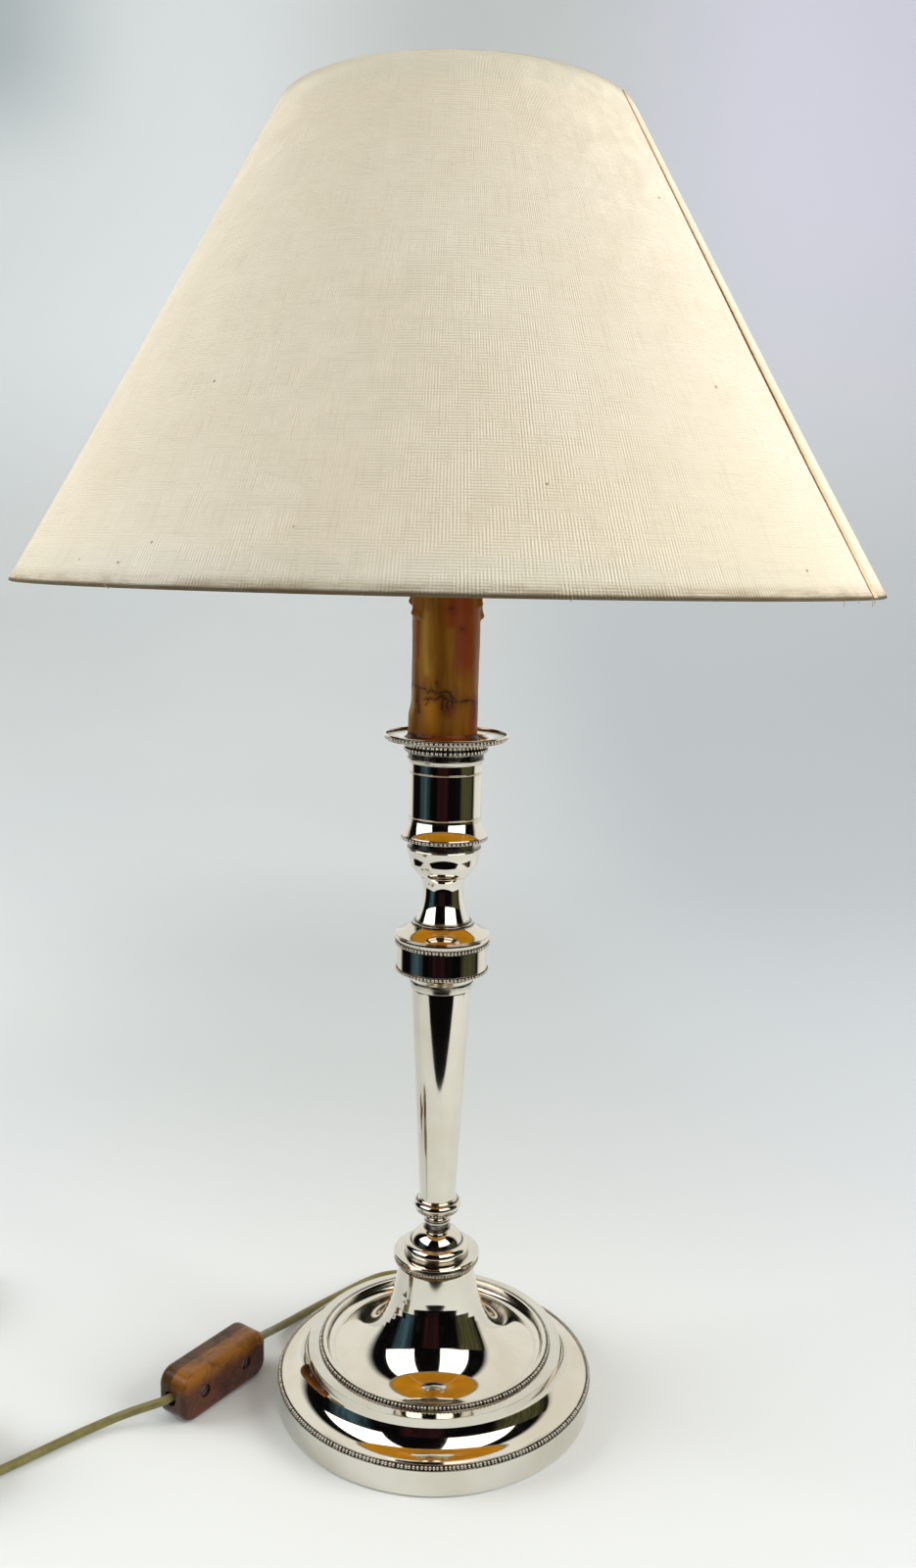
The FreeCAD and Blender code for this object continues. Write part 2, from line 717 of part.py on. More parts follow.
def make_base_shell():
    wall = S.shell_wall
    outer_step = outer_path - S.outer_bead
    inner_step = S.inner_bead_path - S.inner_bead
    body = turned(
        "base_shell",
        [
            (S.foot_radius, S.foot_lift),
            (foot_top, S.outer_seat),
            (outer_step, S.outer_seat),
            (outer_step, S.plate_height),
            (S.cove_start, S.plate_height + S.cove_rise, -68),
            (S.tier_radius, S.tier_cove_top),
            (S.tier_top_radius, S.inner_seat),
            (inner_step, S.inner_seat),
            (inner_step, S.dish_height),
            (S.dish_lip_radius, S.dish_lip_height),
            (S.dish_wall_radius, S.dish_wall_height, -66),
            (S.dish_floor_radius, S.dish_floor, -34),
            (S.bell_foot_radius, S.bell_foot_height, -20),
            (S.bell_mid_radius, S.bell_mid_height, -20.8),
            (S.bell_neck_radius, S.bell_neck_height),
            (S.bell_top_radius, S.bell_top),
            (hole, S.bell_top),
            (hole, S.bell_top - wall),
            (S.bell_top_radius - wall, S.bell_top - wall),
            (S.bell_neck_radius - wall * 0.987, S.bell_neck_height - wall * 0.16, 20.8),
            (S.bell_mid_radius - wall * 0.866, S.bell_mid_height - wall * 0.5, 20),
            (S.bell_foot_radius - wall * 0.643, S.bell_foot_height - wall * 0.766, 34),
            (S.dish_floor_radius - wall * 0.105, S.dish_floor - wall * 0.995, 66),
            (S.dish_wall_radius + wall * 0.866, S.dish_wall_height - wall * 0.5),
            (S.tier_top_radius - wall, S.inner_seat - wall),
            (S.tier_radius - wall * 0.966, S.tier_cove_top - wall * 0.26, 68),
            (S.cove_start - wall * 0.12, S.plate_height + S.cove_rise - wall * 0.993),
            (outer_step - wall, S.plate_height - wall),
            (outer_step - wall, S.outer_seat - wall),
            (foot_top - wall, S.outer_seat - wall),
            (S.foot_radius - wall, S.foot_lift),
        ],
    )
    # The hole for the cord is cut along +Y and the whole body is turned to the exit's direction.
    sketch = new_sketch(body, "cord_hole_outline", "XZ_Plane")
    draw_circle(sketch, 0, S.bush_height, S.bush_neck + S.bush_hole_gap)
    towards = FreeCAD.Vector(0, foot_top.value - wall.value / 2, S.bush_height.value)
    cut_in(body, sketch, "cord_hole", S.foot_radius + wall, towards)
    turn = FreeCAD.Rotation(FreeCAD.Vector(0, 0, 1), S.bush_angle.value - 90)
    place(body, 0, 0, 0, turn)
    return body


def make_foot():
    make_base_shell()
    bead_ring("outer_bead_ring", outer_path, S.outer_bead, S.outer_seat)
    bead_ring("inner_bead_ring", S.inner_bead_path, S.inner_bead, S.inner_seat)
    inside = S.foot_radius - S.shell_wall - S.plate_gap
    turned(
        "felt_pad",
        [(0, 0), (inside, 0), (inside, S.pad_thickness), (0, S.pad_thickness)],
    )
    turned(
        "bottom_plate",
        [(0, 0), (inside, 0), (inside, S.plate_thickness), (0, S.plate_thickness)],
        S.pad_thickness,
    )
    bevel = S.shell_wall
    weight = turned(
        "base_weight",
        [
            (S.weight_bore, 0),
            (S.weight_radius, 0),
            (S.weight_radius, S.weight_height - bevel),
            (S.weight_radius - bevel, S.weight_height),
            (S.weight_bore, S.weight_height),
        ],
        S.pad_thickness + S.plate_thickness,
    )
    # The cord lies in a slot across the weight, cut along +Y and turned to the exit's direction.
    slot = new_sketch(weight, "cord_slot_outline", "XY_Plane")
    draw_outline(
        slot,
        [
            (S.weight_slot / -2, 0),
            (S.weight_slot / 2, 0),
            (S.weight_slot / 2, S.weight_radius + 1),
            (S.weight_slot / -2, S.weight_radius + 1),
        ],
    )
    middle = (S.weight_radius.value + S.weight_bore.value) / 2
    towards = FreeCAD.Vector(0, middle, S.weight_height.value / 2)
    cut_in(weight, slot, "cord_slot", S.weight_height + 1, towards)
    turn = FreeCAD.Rotation(FreeCAD.Vector(0, 0, 1), S.bush_angle.value - 90)
    place(weight, 0, 0, S.pad_thickness + S.plate_thickness, turn)


def make_cable_bush():
    """A tapered grommet whose tail grips the cord inside the foot. Its Z axis points outwards."""
    start = S.bush_inside
    wall_in = start - S.shell_wall - S.bush_hole_gap * 4
    wall_out = start + S.bush_hole_gap * 2
    bore = S.cord_radius + S.cord_clearance
    outward = flat_way(S.bush_angle.value)
    rotation = FreeCAD.Rotation(FreeCAD.Vector(0, 0, 1), outward)
    reach = foot_top.value - S.bush_inside.value
    turned(
        "cable_bush",
        [
            (bore, 0),
            (S.bush_tail, 0),
            (S.bush_grip, wall_in - S.bush_lip),
            (S.bush_grip, wall_in),
            (S.bush_neck, wall_in),
            (S.bush_neck, wall_out),
            (S.bush_flange, wall_out),
            (S.bush_flange, wall_out + S.bush_lip),
            (S.bush_tail, start + S.bush_outside),
            (bore, start + S.bush_outside),
        ],
        S.bush_height,
        outward.x * reach,
        outward.y * reach,
        rotation,
    )


# ---------------------------------------------------------------- stem


def make_clamp():
    """The threaded tube that clamps the stem, with its washer and nut inside the bell."""
    turned(
        "central_tube",
        [
            (S.tube_bore, 0),
            (S.tube_radius, 0),
            (S.tube_radius, z_holder - S.bell_top + S.tube_below + S.tube_above),
            (S.tube_bore, z_holder - S.bell_top + S.tube_below + S.tube_above),
        ],
        S.bell_top - S.tube_below,
    )
    under = S.bell_top - S.shell_wall - S.washer_thickness
    turned(
        "clamp_washer",
        [
            (hole, 0),
            (S.washer_radius, 0),
            (S.washer_radius, S.washer_thickness),
            (hole, S.washer_thickness),
        ],
        under,
    )
    body = new_body("clamp_nut")
    sketch = new_sketch(body, "clamp_nut_outline", "XY_Plane")
    across = S.nut_flats / math.sqrt(3)
    draw_outline(
        sketch,
        [
            (across, 0),
            (across / 2, S.nut_flats / 2),
            (across / -2, S.nut_flats / 2),
            (0 - across, 0),
            (across / -2, S.nut_flats / -2),
            (across / 2, S.nut_flats / -2),
        ],
    )
    draw_circle(sketch, 0, 0, S.tube_radius + S.thread_gap)
    padded_out(body, sketch, "clamp_nut_pad", S.nut_height)
    place(body, 0, 0, under - S.nut_height)


def make_lower_stem():
    groove = S.collar_bead_path - S.collar_bead
    turned(
        "collar",
        [
            (hole, 0),
            (S.collar_foot_radius, 0),
            (groove + 0.3, S.collar_bead_height - S.collar_bead),
            (groove, S.collar_bead_height - S.collar_bead),
            (groove, S.collar_bead_height + S.collar_bead),
            (groove + 0.8, S.collar_bead_height + S.collar_bead),
            (S.collar_rim_radius, S.collar_height - 0.6),
            (S.collar_rim_radius - 0.4, S.collar_height),
            (hole, S.collar_height),
        ],
        z_collar,
    )
    bead_ring(
        "collar_bead_ring",
        S.collar_bead_path,
        S.collar_bead,
        z_collar + S.collar_bead_height - S.collar_bead,
    )
    groove = S.knop_bead_path - S.knop_bead
    turned(
        "lower_vase",
        [
            (hole, 0),
            (S.torus_radius - 0.2, 0),
            (S.torus_radius - 0.2, 0.8),
            (S.torus_radius, 1.4, 100),
            (S.torus_top_radius, S.torus_height),
            (S.torus_top_radius - 0.2, S.torus_height, 62),
            (S.stem_radius + 0.2, S.dome_top),
            (S.stem_radius, S.dome_top + 0.6),
            (S.stem_radius, S.stem_top),
            (S.stem_ring_radius, S.stem_top + 0.6),
            (S.stem_ring_radius, S.stem_top + 1.7, -48),
            (groove + 0.5, S.knop_bead_height - S.knop_bead),
            (groove, S.knop_bead_height - S.knop_bead),
            (groove, S.knop_bead_height + S.knop_bead),
            (groove + 1.0, S.knop_bead_height + S.knop_bead, 45),
            (S.knop_radius, S.knop_height, 70),
            (S.knop_top_radius + 1.0, S.vase_height - 1.0),
            (S.knop_top_radius + 0.3, S.vase_height),
            (hole, S.vase_height),
        ],
        z_vase,
    )
    bead_ring(
        "knop_bead_ring",
        S.knop_bead_path,
        S.knop_bead,
        z_vase + S.knop_bead_height - S.knop_bead,
    )
    turned(
        "column",
        [
            (hole, 0),
            (S.column_foot_radius, 0),
            (S.column_top_radius, S.column_height),
            (hole, S.column_height),
            (hole, S.column_height - S.column_end),
            (S.column_top_radius - S.column_wall, S.column_height - S.column_end),
            (S.column_foot_radius - S.column_wall, S.column_end),
            (hole, S.column_end),
        ],
        z_column,
    )


def make_drum():
    low = S.drum_low_path - S.drum_bead
    high = S.drum_high_path - S.drum_bead
    inside = S.drum_radius - S.drum_wall * 1.5
    turned(
        "drum",
        [
            (hole, 0),
            (S.drum_band_foot, 0),
            (S.drum_band_top, S.drum_band_height),
            (S.drum_band_top - 0.4, S.drum_band_height + 0.4, -50),
            (low, S.drum_low_height - S.drum_bead),
            (low, S.drum_low_height + S.drum_bead),
            (S.drum_radius, S.drum_low_height + S.drum_bead),
            (S.drum_radius, S.drum_high_height - S.drum_bead),
            (high, S.drum_high_height - S.drum_bead),
            (high, S.drum_high_height + S.drum_bead),
            (S.drum_radius + 0.3, S.drum_high_height + S.drum_bead),
            (S.drum_lip_radius, S.drum_height - S.drum_lip),
            (S.drum_lip_radius, S.drum_height),
            (hole, S.drum_height),
            (hole, S.drum_height - S.drum_wall),
            (inside, S.drum_height - S.drum_wall),
            (inside, S.drum_low_height),
            (S.drum_band_foot - S.drum_wall, S.drum_band_height),
            (S.drum_band_foot - S.drum_wall, S.drum_wall),
            (hole, S.drum_wall),
        ],
        z_drum,
    )
    bead_ring(
        "drum_lower_beads", S.drum_low_path, S.drum_bead, z_drum + S.drum_low_height - S.drum_bead
    )
    bead_ring(
        "drum_upper_beads",
        S.drum_high_path,
        S.drum_bead,
        z_drum + S.drum_high_height - S.drum_bead,
    )


def make_upper_stem():
    turned(
        "waist",
        [
            (hole, 0),
            (S.shoulder_radius, 0),
            (S.shoulder_radius, 0.5, -36),
            (S.ledge_radius, S.ledge_height - 0.7),
            (S.ledge_radius, S.ledge_height),
            (S.waist_top_of_ledge, S.ledge_height, -34),
            (S.waist_radius, S.waist_narrow_height, -36),
            (S.waist_head_radius, S.waist_height),
            (hole, S.waist_height),
        ],
        z_waist,
    )
    turned(
        "bowl",
        [
            (hole, 0),
            (S.waist_head_radius, 0, 46),
            (S.bowl_radius, S.bowl_curve_height),
            (S.bowl_ledge_radius, S.bowl_curve_height + 1.4),
            (S.bowl_ledge_radius, S.bowl_curve_height + 2.2),
            (S.bowl_neck_radius, S.bowl_height - 2.0),
            (S.bowl_neck_radius, S.bowl_height),
            (hole, S.bowl_height),
        ],
        z_bowl,
    )
    groove = S.socket_bead_path - S.socket_bead
    low = S.socket_low_ring
    high = S.socket_high_ring
    width = S.socket_ring_width
    turned(
        "candle_socket",
        [
            (hole, 0),
            (groove, 0),
            (groove, S.socket_bead * 2),
            (S.socket_flare, S.socket_bead * 2 + 0.4),
            (S.socket_flare, S.socket_bead * 2 + 0.8, -26),
            (S.socket_radius + 0.15, low - 0.2),
            (S.socket_ring, low),
            (S.socket_ring, low + width),
            (S.socket_radius, low + width),
            (S.socket_radius, high),
            (S.socket_ring, high),
            (S.socket_ring, high + width),
            (S.socket_radius, high + width),
            (S.socket_mouth, S.socket_height),
            (S.socket_bore, S.socket_height),
            (S.socket_bore, S.socket_floor),
            (hole, S.socket_floor),
        ],
        z_socket,
    )
    bead_ring("socket_beads", S.socket_bead_path, S.socket_bead, z_socket)


def make_drip_pan():
    neck = S.pan_neck_height
    low = S.pan_low_path - S.pan_low_bead
    rim = S.pan_rim_path - S.pan_rim_bead
    low_z = neck + S.pan_low_height
    rim_z = neck + S.pan_rim_height
    floor = neck + S.pan_floor
    bore = S.pan_neck_radius - S.pan_neck_wall
    turned(
        "drip_pan",
        [
            (bore, 0),
            (S.pan_neck_radius, 0),
            (S.pan_neck_radius, neck),
            (S.pan_seat_radius, neck),
            (S.pan_seat_radius + 0.3, low_z - S.pan_low_bead),
            (low, low_z - S.pan_low_bead),
            (low, low_z + S.pan_low_bead),
            (low + 1.2, low_z + S.pan_low_bead + 0.3, -20),
            (rim + 0.4, rim_z - S.pan_rim_bead),
            (rim, rim_z - S.pan_rim_bead),
            (rim, rim_z + S.pan_rim_bead),
            (S.pan_radius, rim_z + S.pan_rim_bead + 0.2),
            (S.pan_radius, neck + S.pan_top - 0.4),
            (S.pan_radius - 0.4, neck + S.pan_top),
            (S.pan_radius - 1.2, neck + S.pan_top, -16),
            (S.pan_dish_radius, floor),
            (hole, floor),
            (hole, floor - S.pan_sheet),
            (bore, floor - S.pan_sheet),
        ],
        z_mouth - neck,
    )
    bead_ring(
        "pan_lower_beads",
        S.pan_low_path,
        S.pan_low_bead,
        z_mouth + S.pan_low_height - S.pan_low_bead,
    )
    bead_ring(
        "pan_rim_beads",
        S.pan_rim_path,
        S.pan_rim_bead,
        z_mouth + S.pan_rim_height - S.pan_rim_bead,
    )


# ---------------------------------------------------------------- candle and lampholder


def make_candle():
    bore = S.candle_radius - S.candle_wall
    turned(
        "candle_sleeve",
        [
            (bore, 0),
            (S.wax_foot_radius, 0),
            (S.wax_foot_radius, S.wax_foot_height, -55),
            (S.candle_radius, S.wax_foot_height * 3),
            (S.candle_radius, S.candle_height),
            (bore, S.candle_height),
        ],
        z_candle,
        0 - S.candle_shift,
    )


def make_lampholder():
    bore = S.tube_radius + S.thread_gap
    inside = S.cap_radius - S.cap_wall
    turned(
        "holder_cap",
        [
            (bore, 0),
            (S.cap_radius, 0),
            (S.cap_radius, S.cap_height),
            (inside, S.cap_height),
            (inside, S.cap_floor),
            (bore, S.cap_floor),
        ],
        z_holder,
    )
    bore = S.skirt_radius - S.skirt_wall
    turned(
        "holder_skirt",
        [
            (bore, 0),
            (S.skirt_foot_radius, 0),
            (S.skirt_foot_radius, S.flange_height),
            (S.flange_radius, S.flange_height),
            (S.flange_radius, S.flange_height + S.flange_thickness),
            (S.skirt_radius, S.flange_height + S.flange_thickness),
            (S.skirt_radius, S.skirt_height),
            (bore, S.skirt_height),
        ],
        z_skirt,
    )
    under = S.insert_cavity_height
    floor = under + S.insert_floor
    seat = S.socket_thread + S.thread_sheet + S.thread_gap
    slot = S.contact_shank + S.contact_gap
    turned(
        "holder_insert",
        [
            (S.insert_cavity, 0),
            (S.insert_radius, 0),
            (S.insert_radius, S.insert_height),
            (seat, S.insert_height),
            (seat, floor),
            (slot, floor),
            (slot, under),
            (S.insert_cavity, under),
        ],
        z_core,
    )
    turned(
        "thread_shell",
        [
            (S.socket_thread, 0),
            (S.socket_thread + S.thread_sheet, 0),
            (S.socket_thread + S.thread_sheet, S.thread_shell_height),
            (S.socket_thread, S.thread_shell_height),
        ],
        z_core + floor,
    )
    leaf = S.contact_leaf_height
    turned(
        "centre_contact",
        [
            (0, 0),
            (S.contact_leaf, 0),
            (S.contact_leaf, leaf),
            (S.contact_shank, leaf),
            (S.contact_shank, leaf + S.insert_floor),
            (S.contact_leaf, leaf + S.insert_floor),
            (S.contact_leaf, leaf * 2 + S.insert_floor),
            (0, leaf * 2 + S.insert_floor),
        ],
        z_core + under - leaf,
    )
    heads = []
    for side in (-1, 1):
        head = helper(
            "Part::Cylinder",
            "terminal_left" if side < 0 else "terminal_right",
            Radius=S.terminal_head,
            Height=S.terminal_length,
        )
        place(head, S.terminal_offset * side, 0, z_core + under - S.terminal_length)
        heads.append(head)
    grouped("terminal_screws", heads)
    bore = S.skirt_radius + S.thread_gap
    turned(
        "shade_ring_nut",
        [
            (bore, 0),
            (S.ring_nut_flange, 0),
            (S.ring_nut_flange, S.ring_nut_flange_height),
            (S.ring_nut_radius, S.ring_nut_flange_height),
            (S.ring_nut_radius, S.ring_nut_height),
            (bore, S.ring_nut_height),
        ],
        z_fitter + S.fitter_thickness + S.moving_gap,
    )


def blown_glass(z):
    """The lamp's glass: a free curve with its inside one glass thickness in, turned about Z."""
    neck = S.bulb_neck.value
    over = S.bulb_overlap.value + S.moving_gap.value
    wide = S.bulb_radius.value
    belly = S.bulb_belly_height.value
    top = S.bulb_height.value
    glass = S.bulb_glass.value
    rise = belly - over
    fall = top - belly
    points = [
        FreeCAD.Vector(neck, 0, over),
        FreeCAD.Vector(neck + 0.22 * (wide - neck), 0, over + 0.17 * rise),
        FreeCAD.Vector(neck + 0.62 * (wide - neck), 0, over + 0.45 * rise),
        FreeCAD.Vector(neck + 0.94 * (wide - neck), 0, over + 0.79 * rise),
        FreeCAD.Vector(wide, 0, belly),
        FreeCAD.Vector(0.935 * wide, 0, belly + 0.25 * fall),
        FreeCAD.Vector(0.72 * wide, 0, belly + 0.51 * fall),
        FreeCAD.Vector(0.43 * wide, 0, belly + 0.775 * fall),
        FreeCAD.Vector(0.2 * wide, 0, belly + 0.94 * fall),
        FreeCAD.Vector(0, 0, top),
    ]
    up = FreeCAD.Vector(0, 0, 1)
    inward = FreeCAD.Vector(-1, 0, 0)
    outside = Part.BSplineCurve()
    outside.interpolate(Points=points, InitialTangent=up, FinalTangent=inward)
    inner_points = []
    for point in points:
        way = outside.tangent(outside.parameter(point))[0]
        inner_points.append(point + FreeCAD.Vector(-way.z, 0, way.x) * glass)
    inner_points[0] = FreeCAD.Vector(neck - glass, 0, over)
    inner_points[-1] = FreeCAD.Vector(0, 0, top - glass)
    inside = Part.BSplineCurve()
    inside.interpolate(Points=inner_points, InitialTangent=up, FinalTangent=inward)
    foot_out = FreeCAD.Vector(neck, 0, 0)
    foot_in = FreeCAD.Vector(neck - glass, 0, 0)
    outline = Part.Wire(
        [
            Part.LineSegment(foot_out, points[0]).toShape(),
            outside.toShape(),
            Part.LineSegment(points[-1], inner_points[-1]).toShape(),
            inside.toShape(),
            Part.LineSegment(inner_points[0], foot_in).toShape(),
            Part.LineSegment(foot_in, foot_out).toShape(),
        ]
    )
    bulb = doc.addObject("Part::Feature", "bulb_glass")
    bulb.Label = "bulb_glass"
    bulb.Shape = Part.Face(outline).revolve(FreeCAD.Vector(), up, 360)
    place(bulb, 0, 0, z)


def make_bulb():
    z_contact = z_core + S.insert_cavity_height + S.insert_floor
    z_contact = z_contact + S.contact_leaf_height + S.moving_gap
    turned(
        "bulb_contact",
        [
            (0, 0),
            (S.bulb_contact_radius - 0.5, 0),
            (S.bulb_contact_radius, S.bulb_contact_height),
            (0, S.bulb_contact_height),
        ],
        z_contact,
    )
    z_insulator = z_contact + S.bulb_contact_height
    turned(
        "bulb_insulator",
        [
            (0, 0),
            (S.bulb_contact_radius, 0),
            (S.bulb_cap_foot, S.bulb_insulator_height),
            (0, S.bulb_insulator_height),
        ],
        z_insulator,
    )
    z_cap = z_insulator + S.bulb_insulator_height
    sheet_in = S.bulb_cap_radius - S.bulb_cap_sheet
    turned(
        "bulb_cap",
        [
            (0, 0),
            (S.bulb_cap_foot, 0),
            (S.bulb_cap_radius, 1.2),
            (S.bulb_cap_radius, S.bulb_cap_height),
            (sheet_in, S.bulb_cap_height),
            (sheet_in, 1.2),
            (0, 1.2),
        ],
        z_cap,
    )
    z_glass = z_cap + S.bulb_cap_height - S.bulb_overlap
    glass = S.bulb_glass
    blown_glass(z_glass)
    turned(
        "bulb_mount",
        [
            (0, 0),
            (S.bulb_neck - glass - S.thread_gap, 0),
            (S.bulb_neck - glass - S.thread_gap, 1.5),
            (S.mount_radius, 7.0),
            (S.mount_radius, S.mount_height),
            (0, S.mount_height),
        ],
        z_glass,
    )
    foot = z_glass.value + S.mount_height.value + S.thread_gap.value
    spread = S.filament_spread.value
    rise = S.filament_rise.value
    pin = S.mount_radius.value - S.filament_wire.value
    points = [
        FreeCAD.Vector(-pin, 0, foot),
        FreeCAD.Vector(-spread, 0, foot + rise * 0.6),
        FreeCAD.Vector(-spread * 0.7, 0, foot + rise),
        FreeCAD.Vector(spread * 0.7, 0, foot + rise),
        FreeCAD.Vector(spread, 0, foot + rise * 0.6),
        FreeCAD.Vector(pin, 0, foot),
    ]
    edges, _ = route_edges(points)
    solid, _, _ = tube_along(edges, S.filament_wire.value)
    filament = doc.addObject("Part::Feature", "filament")
    filament.Label = "filament"
    filament.Shape = solid


# ---------------------------------------------------------------- shade

slope_r = S.shade_top_radius - S.shade_bottom_radius
slant = root_of(slope_r * slope_r + S.shade_rise * S.shade_rise)
along_r = slope_r / slant
along_z = S.shade_rise / slant


def lining(label, base_z, height, outset, thickness):
    """A conical strip inside the shade: outset is its distance from the shade's outer face."""
    per_z = slope_r / S.shade_rise
    outer = S.shade_bottom_radius + per_z * (base_z - shade_bottom) - outset / along_z
    across = thickness / along_z
    return turned(
        label,
        [
            (outer - across, 0),
            (outer, 0),
            (outer + per_z * height, height),
            (outer + per_z * height - across, height),
        ],
        base_z,
    )


def make_shade():
    top = shade_bottom + S.shade_rise
    lining("shade_cover", shade_bottom, S.shade_rise, as_size(0.0), S.cover_thickness)
    inset = S.cover_thickness + S.hem_gap
    lining("bottom_hem", shade_bottom, S.hem_height, inset, S.hem_thickness)
    lining("top_hem", top - S.hem_height, S.hem_height, inset, S.hem_thickness)
    depth = inset + S.hem_thickness + S.hem_gap + S.wire_radius
    low_r = S.shade_bottom_radius + along_r * S.wire_inset - along_z * depth
    low_z = shade_bottom + along_z * S.wire_inset + along_r * depth
    high_r = S.shade_top_radius - along_r * S.wire_inset - along_z * depth
    high_z = top - along_z * S.wire_inset + along_r * depth
    for label, radius, z in (
        ("bottom_wire_ring", low_r, low_z),
        ("top_wire_ring", high_r, high_z),
    ):
        wire = helper("Part::Torus", label, Radius1=radius, Radius2=S.wire_radius)
        wire.Label = label
        place(wire, 0, 0, z)
    make_fitter(low_r, low_z)


def make_fitter(wire_r, wire_z):
    """The ring that sits on the holder's flange, with three arms down to the lower wire."""
    ring = turned(
        "fitter_ring",
        [
            (S.fitter_hole, 0),
            (S.fitter_radius, 0),
            (S.fitter_radius, S.fitter_thickness),
            (S.fitter_hole, S.fitter_thickness),
        ],
        z_fitter,
    )
    start_r = S.fitter_radius - S.fitter_lap
    start_z = z_fitter + S.fitter_thickness / 2
    end_r = wire_r - S.wire_radius - S.hem_gap
    run = end_r - start_r
    drop = start_z - wire_z
    length = root_of(run * run + drop * drop)
    members = [ring]
    for count in range(3):
        turn = S.arm_first_angle.value + 120 * count
        way = flat_way(turn)
        down = FreeCAD.Vector(way.x * run.value, way.y * run.value, -drop.value)
        arm = helper(
            "Part::Cylinder", f"spider_arm_{count + 1}", Radius=S.arm_radius, Height=length
        )
        rotation = FreeCAD.Rotation(FreeCAD.Vector(0, 0, 1), down)
        place(arm, start_r * way.x, start_r * way.y, start_z, rotation)
        members.append(arm)
    grouped("shade_fitter", members)


# ---------------------------------------------------------------- cord


def switch_point(along):
    """A point on the switch's long axis, at the cord's height."""
    way = flat_way(S.switch_heading.value)
    centre = FreeCAD.Vector(S.switch_x.value, S.switch_y.value, S.switch_width.value / 2)
    return centre + way * along


def coil_point(turns):
    """Centre line of the coil: it winds clockwise, in and out by layers that climb."""
    per_turn = 2 * S.cord_radius.value + S.coil_gap.value
    layer_turns = S.coil_turns.value
    layer = int(turns / layer_turns)
    part = turns - layer * layer_turns
    depth = part if layer % 2 == 0 else layer_turns - part
    radius = S.coil_radius.value - per_turn * depth
    nearest = round(turns / layer_turns)
    climb = 0.0
    if 0 < nearest < COIL_LAYERS:
        share = min(max((turns - nearest * layer_turns) / 0.5 + 0.5, 0.0), 1.0)
        climb = nearest - 1 + share * share * (3 - 2 * share)
    else:
        climb = max(nearest - 1, 0)
    z = S.tie_thickness.value + S.tie_gap.value + S.cord_radius.value + per_turn * climb
    angle = math.radians(S.coil_heading.value + 90 - 360 * turns)
    start = FreeCAD.Vector(S.coil_start_x.value, S.coil_start_y.value, 0)
    centre = start - flat_way(S.coil_heading.value + 90) * S.coil_radius.value
    return centre + FreeCAD.Vector(radius * math.cos(angle), radius * math.sin(angle), z)


def coil_way(turns):
    last = S.coil_turns.value * COIL_LAYERS
    step = 1e-4
    before = coil_point(max(turns - step, 0.0))
    after = coil_point(min(turns + step, last - 1e-9))
    return (after - before).normalize()


def coil_stations():
    """Turn counts at which the coil's arcs meet: even steps, and two for each climb."""
    layer_turns = S.coil_turns.value
    stations = [0.0]
    for layer in range(COIL_LAYERS):
        first = layer * layer_turns + (0.25 if layer else 0.0)
        last = (layer + 1) * layer_turns - (0.25 if layer < COIL_LAYERS - 1 else 0.0)
        for step in range(1, COIL_STEPS + 1):
            stations.append(first + (last - first) * step / COIL_STEPS)
        if layer < COIL_LAYERS - 1:
            stations.append((layer + 1) * layer_turns)
            stations.append((layer + 1) * layer_turns + 0.25)
    stations[-1] -= 1e-6
    return stations


def least_self_gap(edges):
    """Least clear distance between stretches of the coil, measured on points."""
    spacing = 3.0
    points = []
    for edge in edges:
        points += edge.discretize(max(3, int(edge.Length / spacing) + 1))[:-1]
    skip = int(6 * S.cord_radius.value / spacing) + 4
    least = min(
        (points[i] - points[j]).Length
        for i in range(len(points))
        for j in range(i + skip, len(points))
    )
    return least - 2 * S.cord_radius.value


def make_cords():
    out = flat_way(S.bush_angle.value)
    exit_reach = foot_top.value + S.bush_outside.value
    exit_point = FreeCAD.Vector(out.x * exit_reach, out.y * exit_reach, S.bush_height.value)
    half = S.switch_length.value / 2
    lead = [exit_point]
    lead += [FreeCAD.Vector(*point) for point in LEAD_ROUTE]
    lead += [switch_point(half + SWITCH_LEAD_OUT), switch_point(half - SWITCH_CORD_IN)]
    cord_piece("cord_lead", *route_edges(lead))

    stations = coil_stations()
    coil_first = coil_point(0.0)
    coil_last = coil_point(stations[-1])
    run = [switch_point(SWITCH_CORD_IN - half), switch_point(-half - SWITCH_RUN_OUT)]
    run += [FreeCAD.Vector(*point) for point in RUN_ROUTE]
    run += [coil_first - coil_way(0.0) * COIL_RUN_IN, coil_first]
    cord_piece("cord_run", *route_edges(run))

    edges = []
    for here, there in zip(stations[:-1], stations[1:]):
        edges += biarc_edges(coil_point(here), coil_way(here), coil_point(there), coil_way(there))
    cord_piece("cord_coil", edges)
    print(f"cord_coil: least gap to itself {least_self_gap(edges):.2f} mm")

    plug_way = flat_way(S.plug_heading.value)
    plug_end = FreeCAD.Vector(S.plug_x.value, S.plug_y.value, S.plug_height.value / 2)
    nose = plug_end - plug_way * S.plug_sleeve.value
    tail = [coil_last, coil_last + coil_way(stations[-1]) * COIL_RUN_OUT]
    tail += [FreeCAD.Vector(*point) for point in TAIL_ROUTE]
    tail += [nose - plug_way * PLUG_RUN_IN, nose]
    cord_piece("cord_tail", *route_edges(tail))


def make_inner_cable():
    """The cord inside: in through the bush, across the weight, and up the tube to the holder."""
    out = flat_way(S.bush_angle.value)
    low = S.bush_height.value
    exit_reach = foot_top.value + S.bush_outside.value
    top = z_core.value + S.contact_gap.value
    stations = [(exit_reach, low), (0.0, low), (0.0, top)]
    points = [FreeCAD.Vector(out.x * reach, out.y * reach, z) for reach, z in stations]
    cord_piece("inner_cable", *route_edges(points))


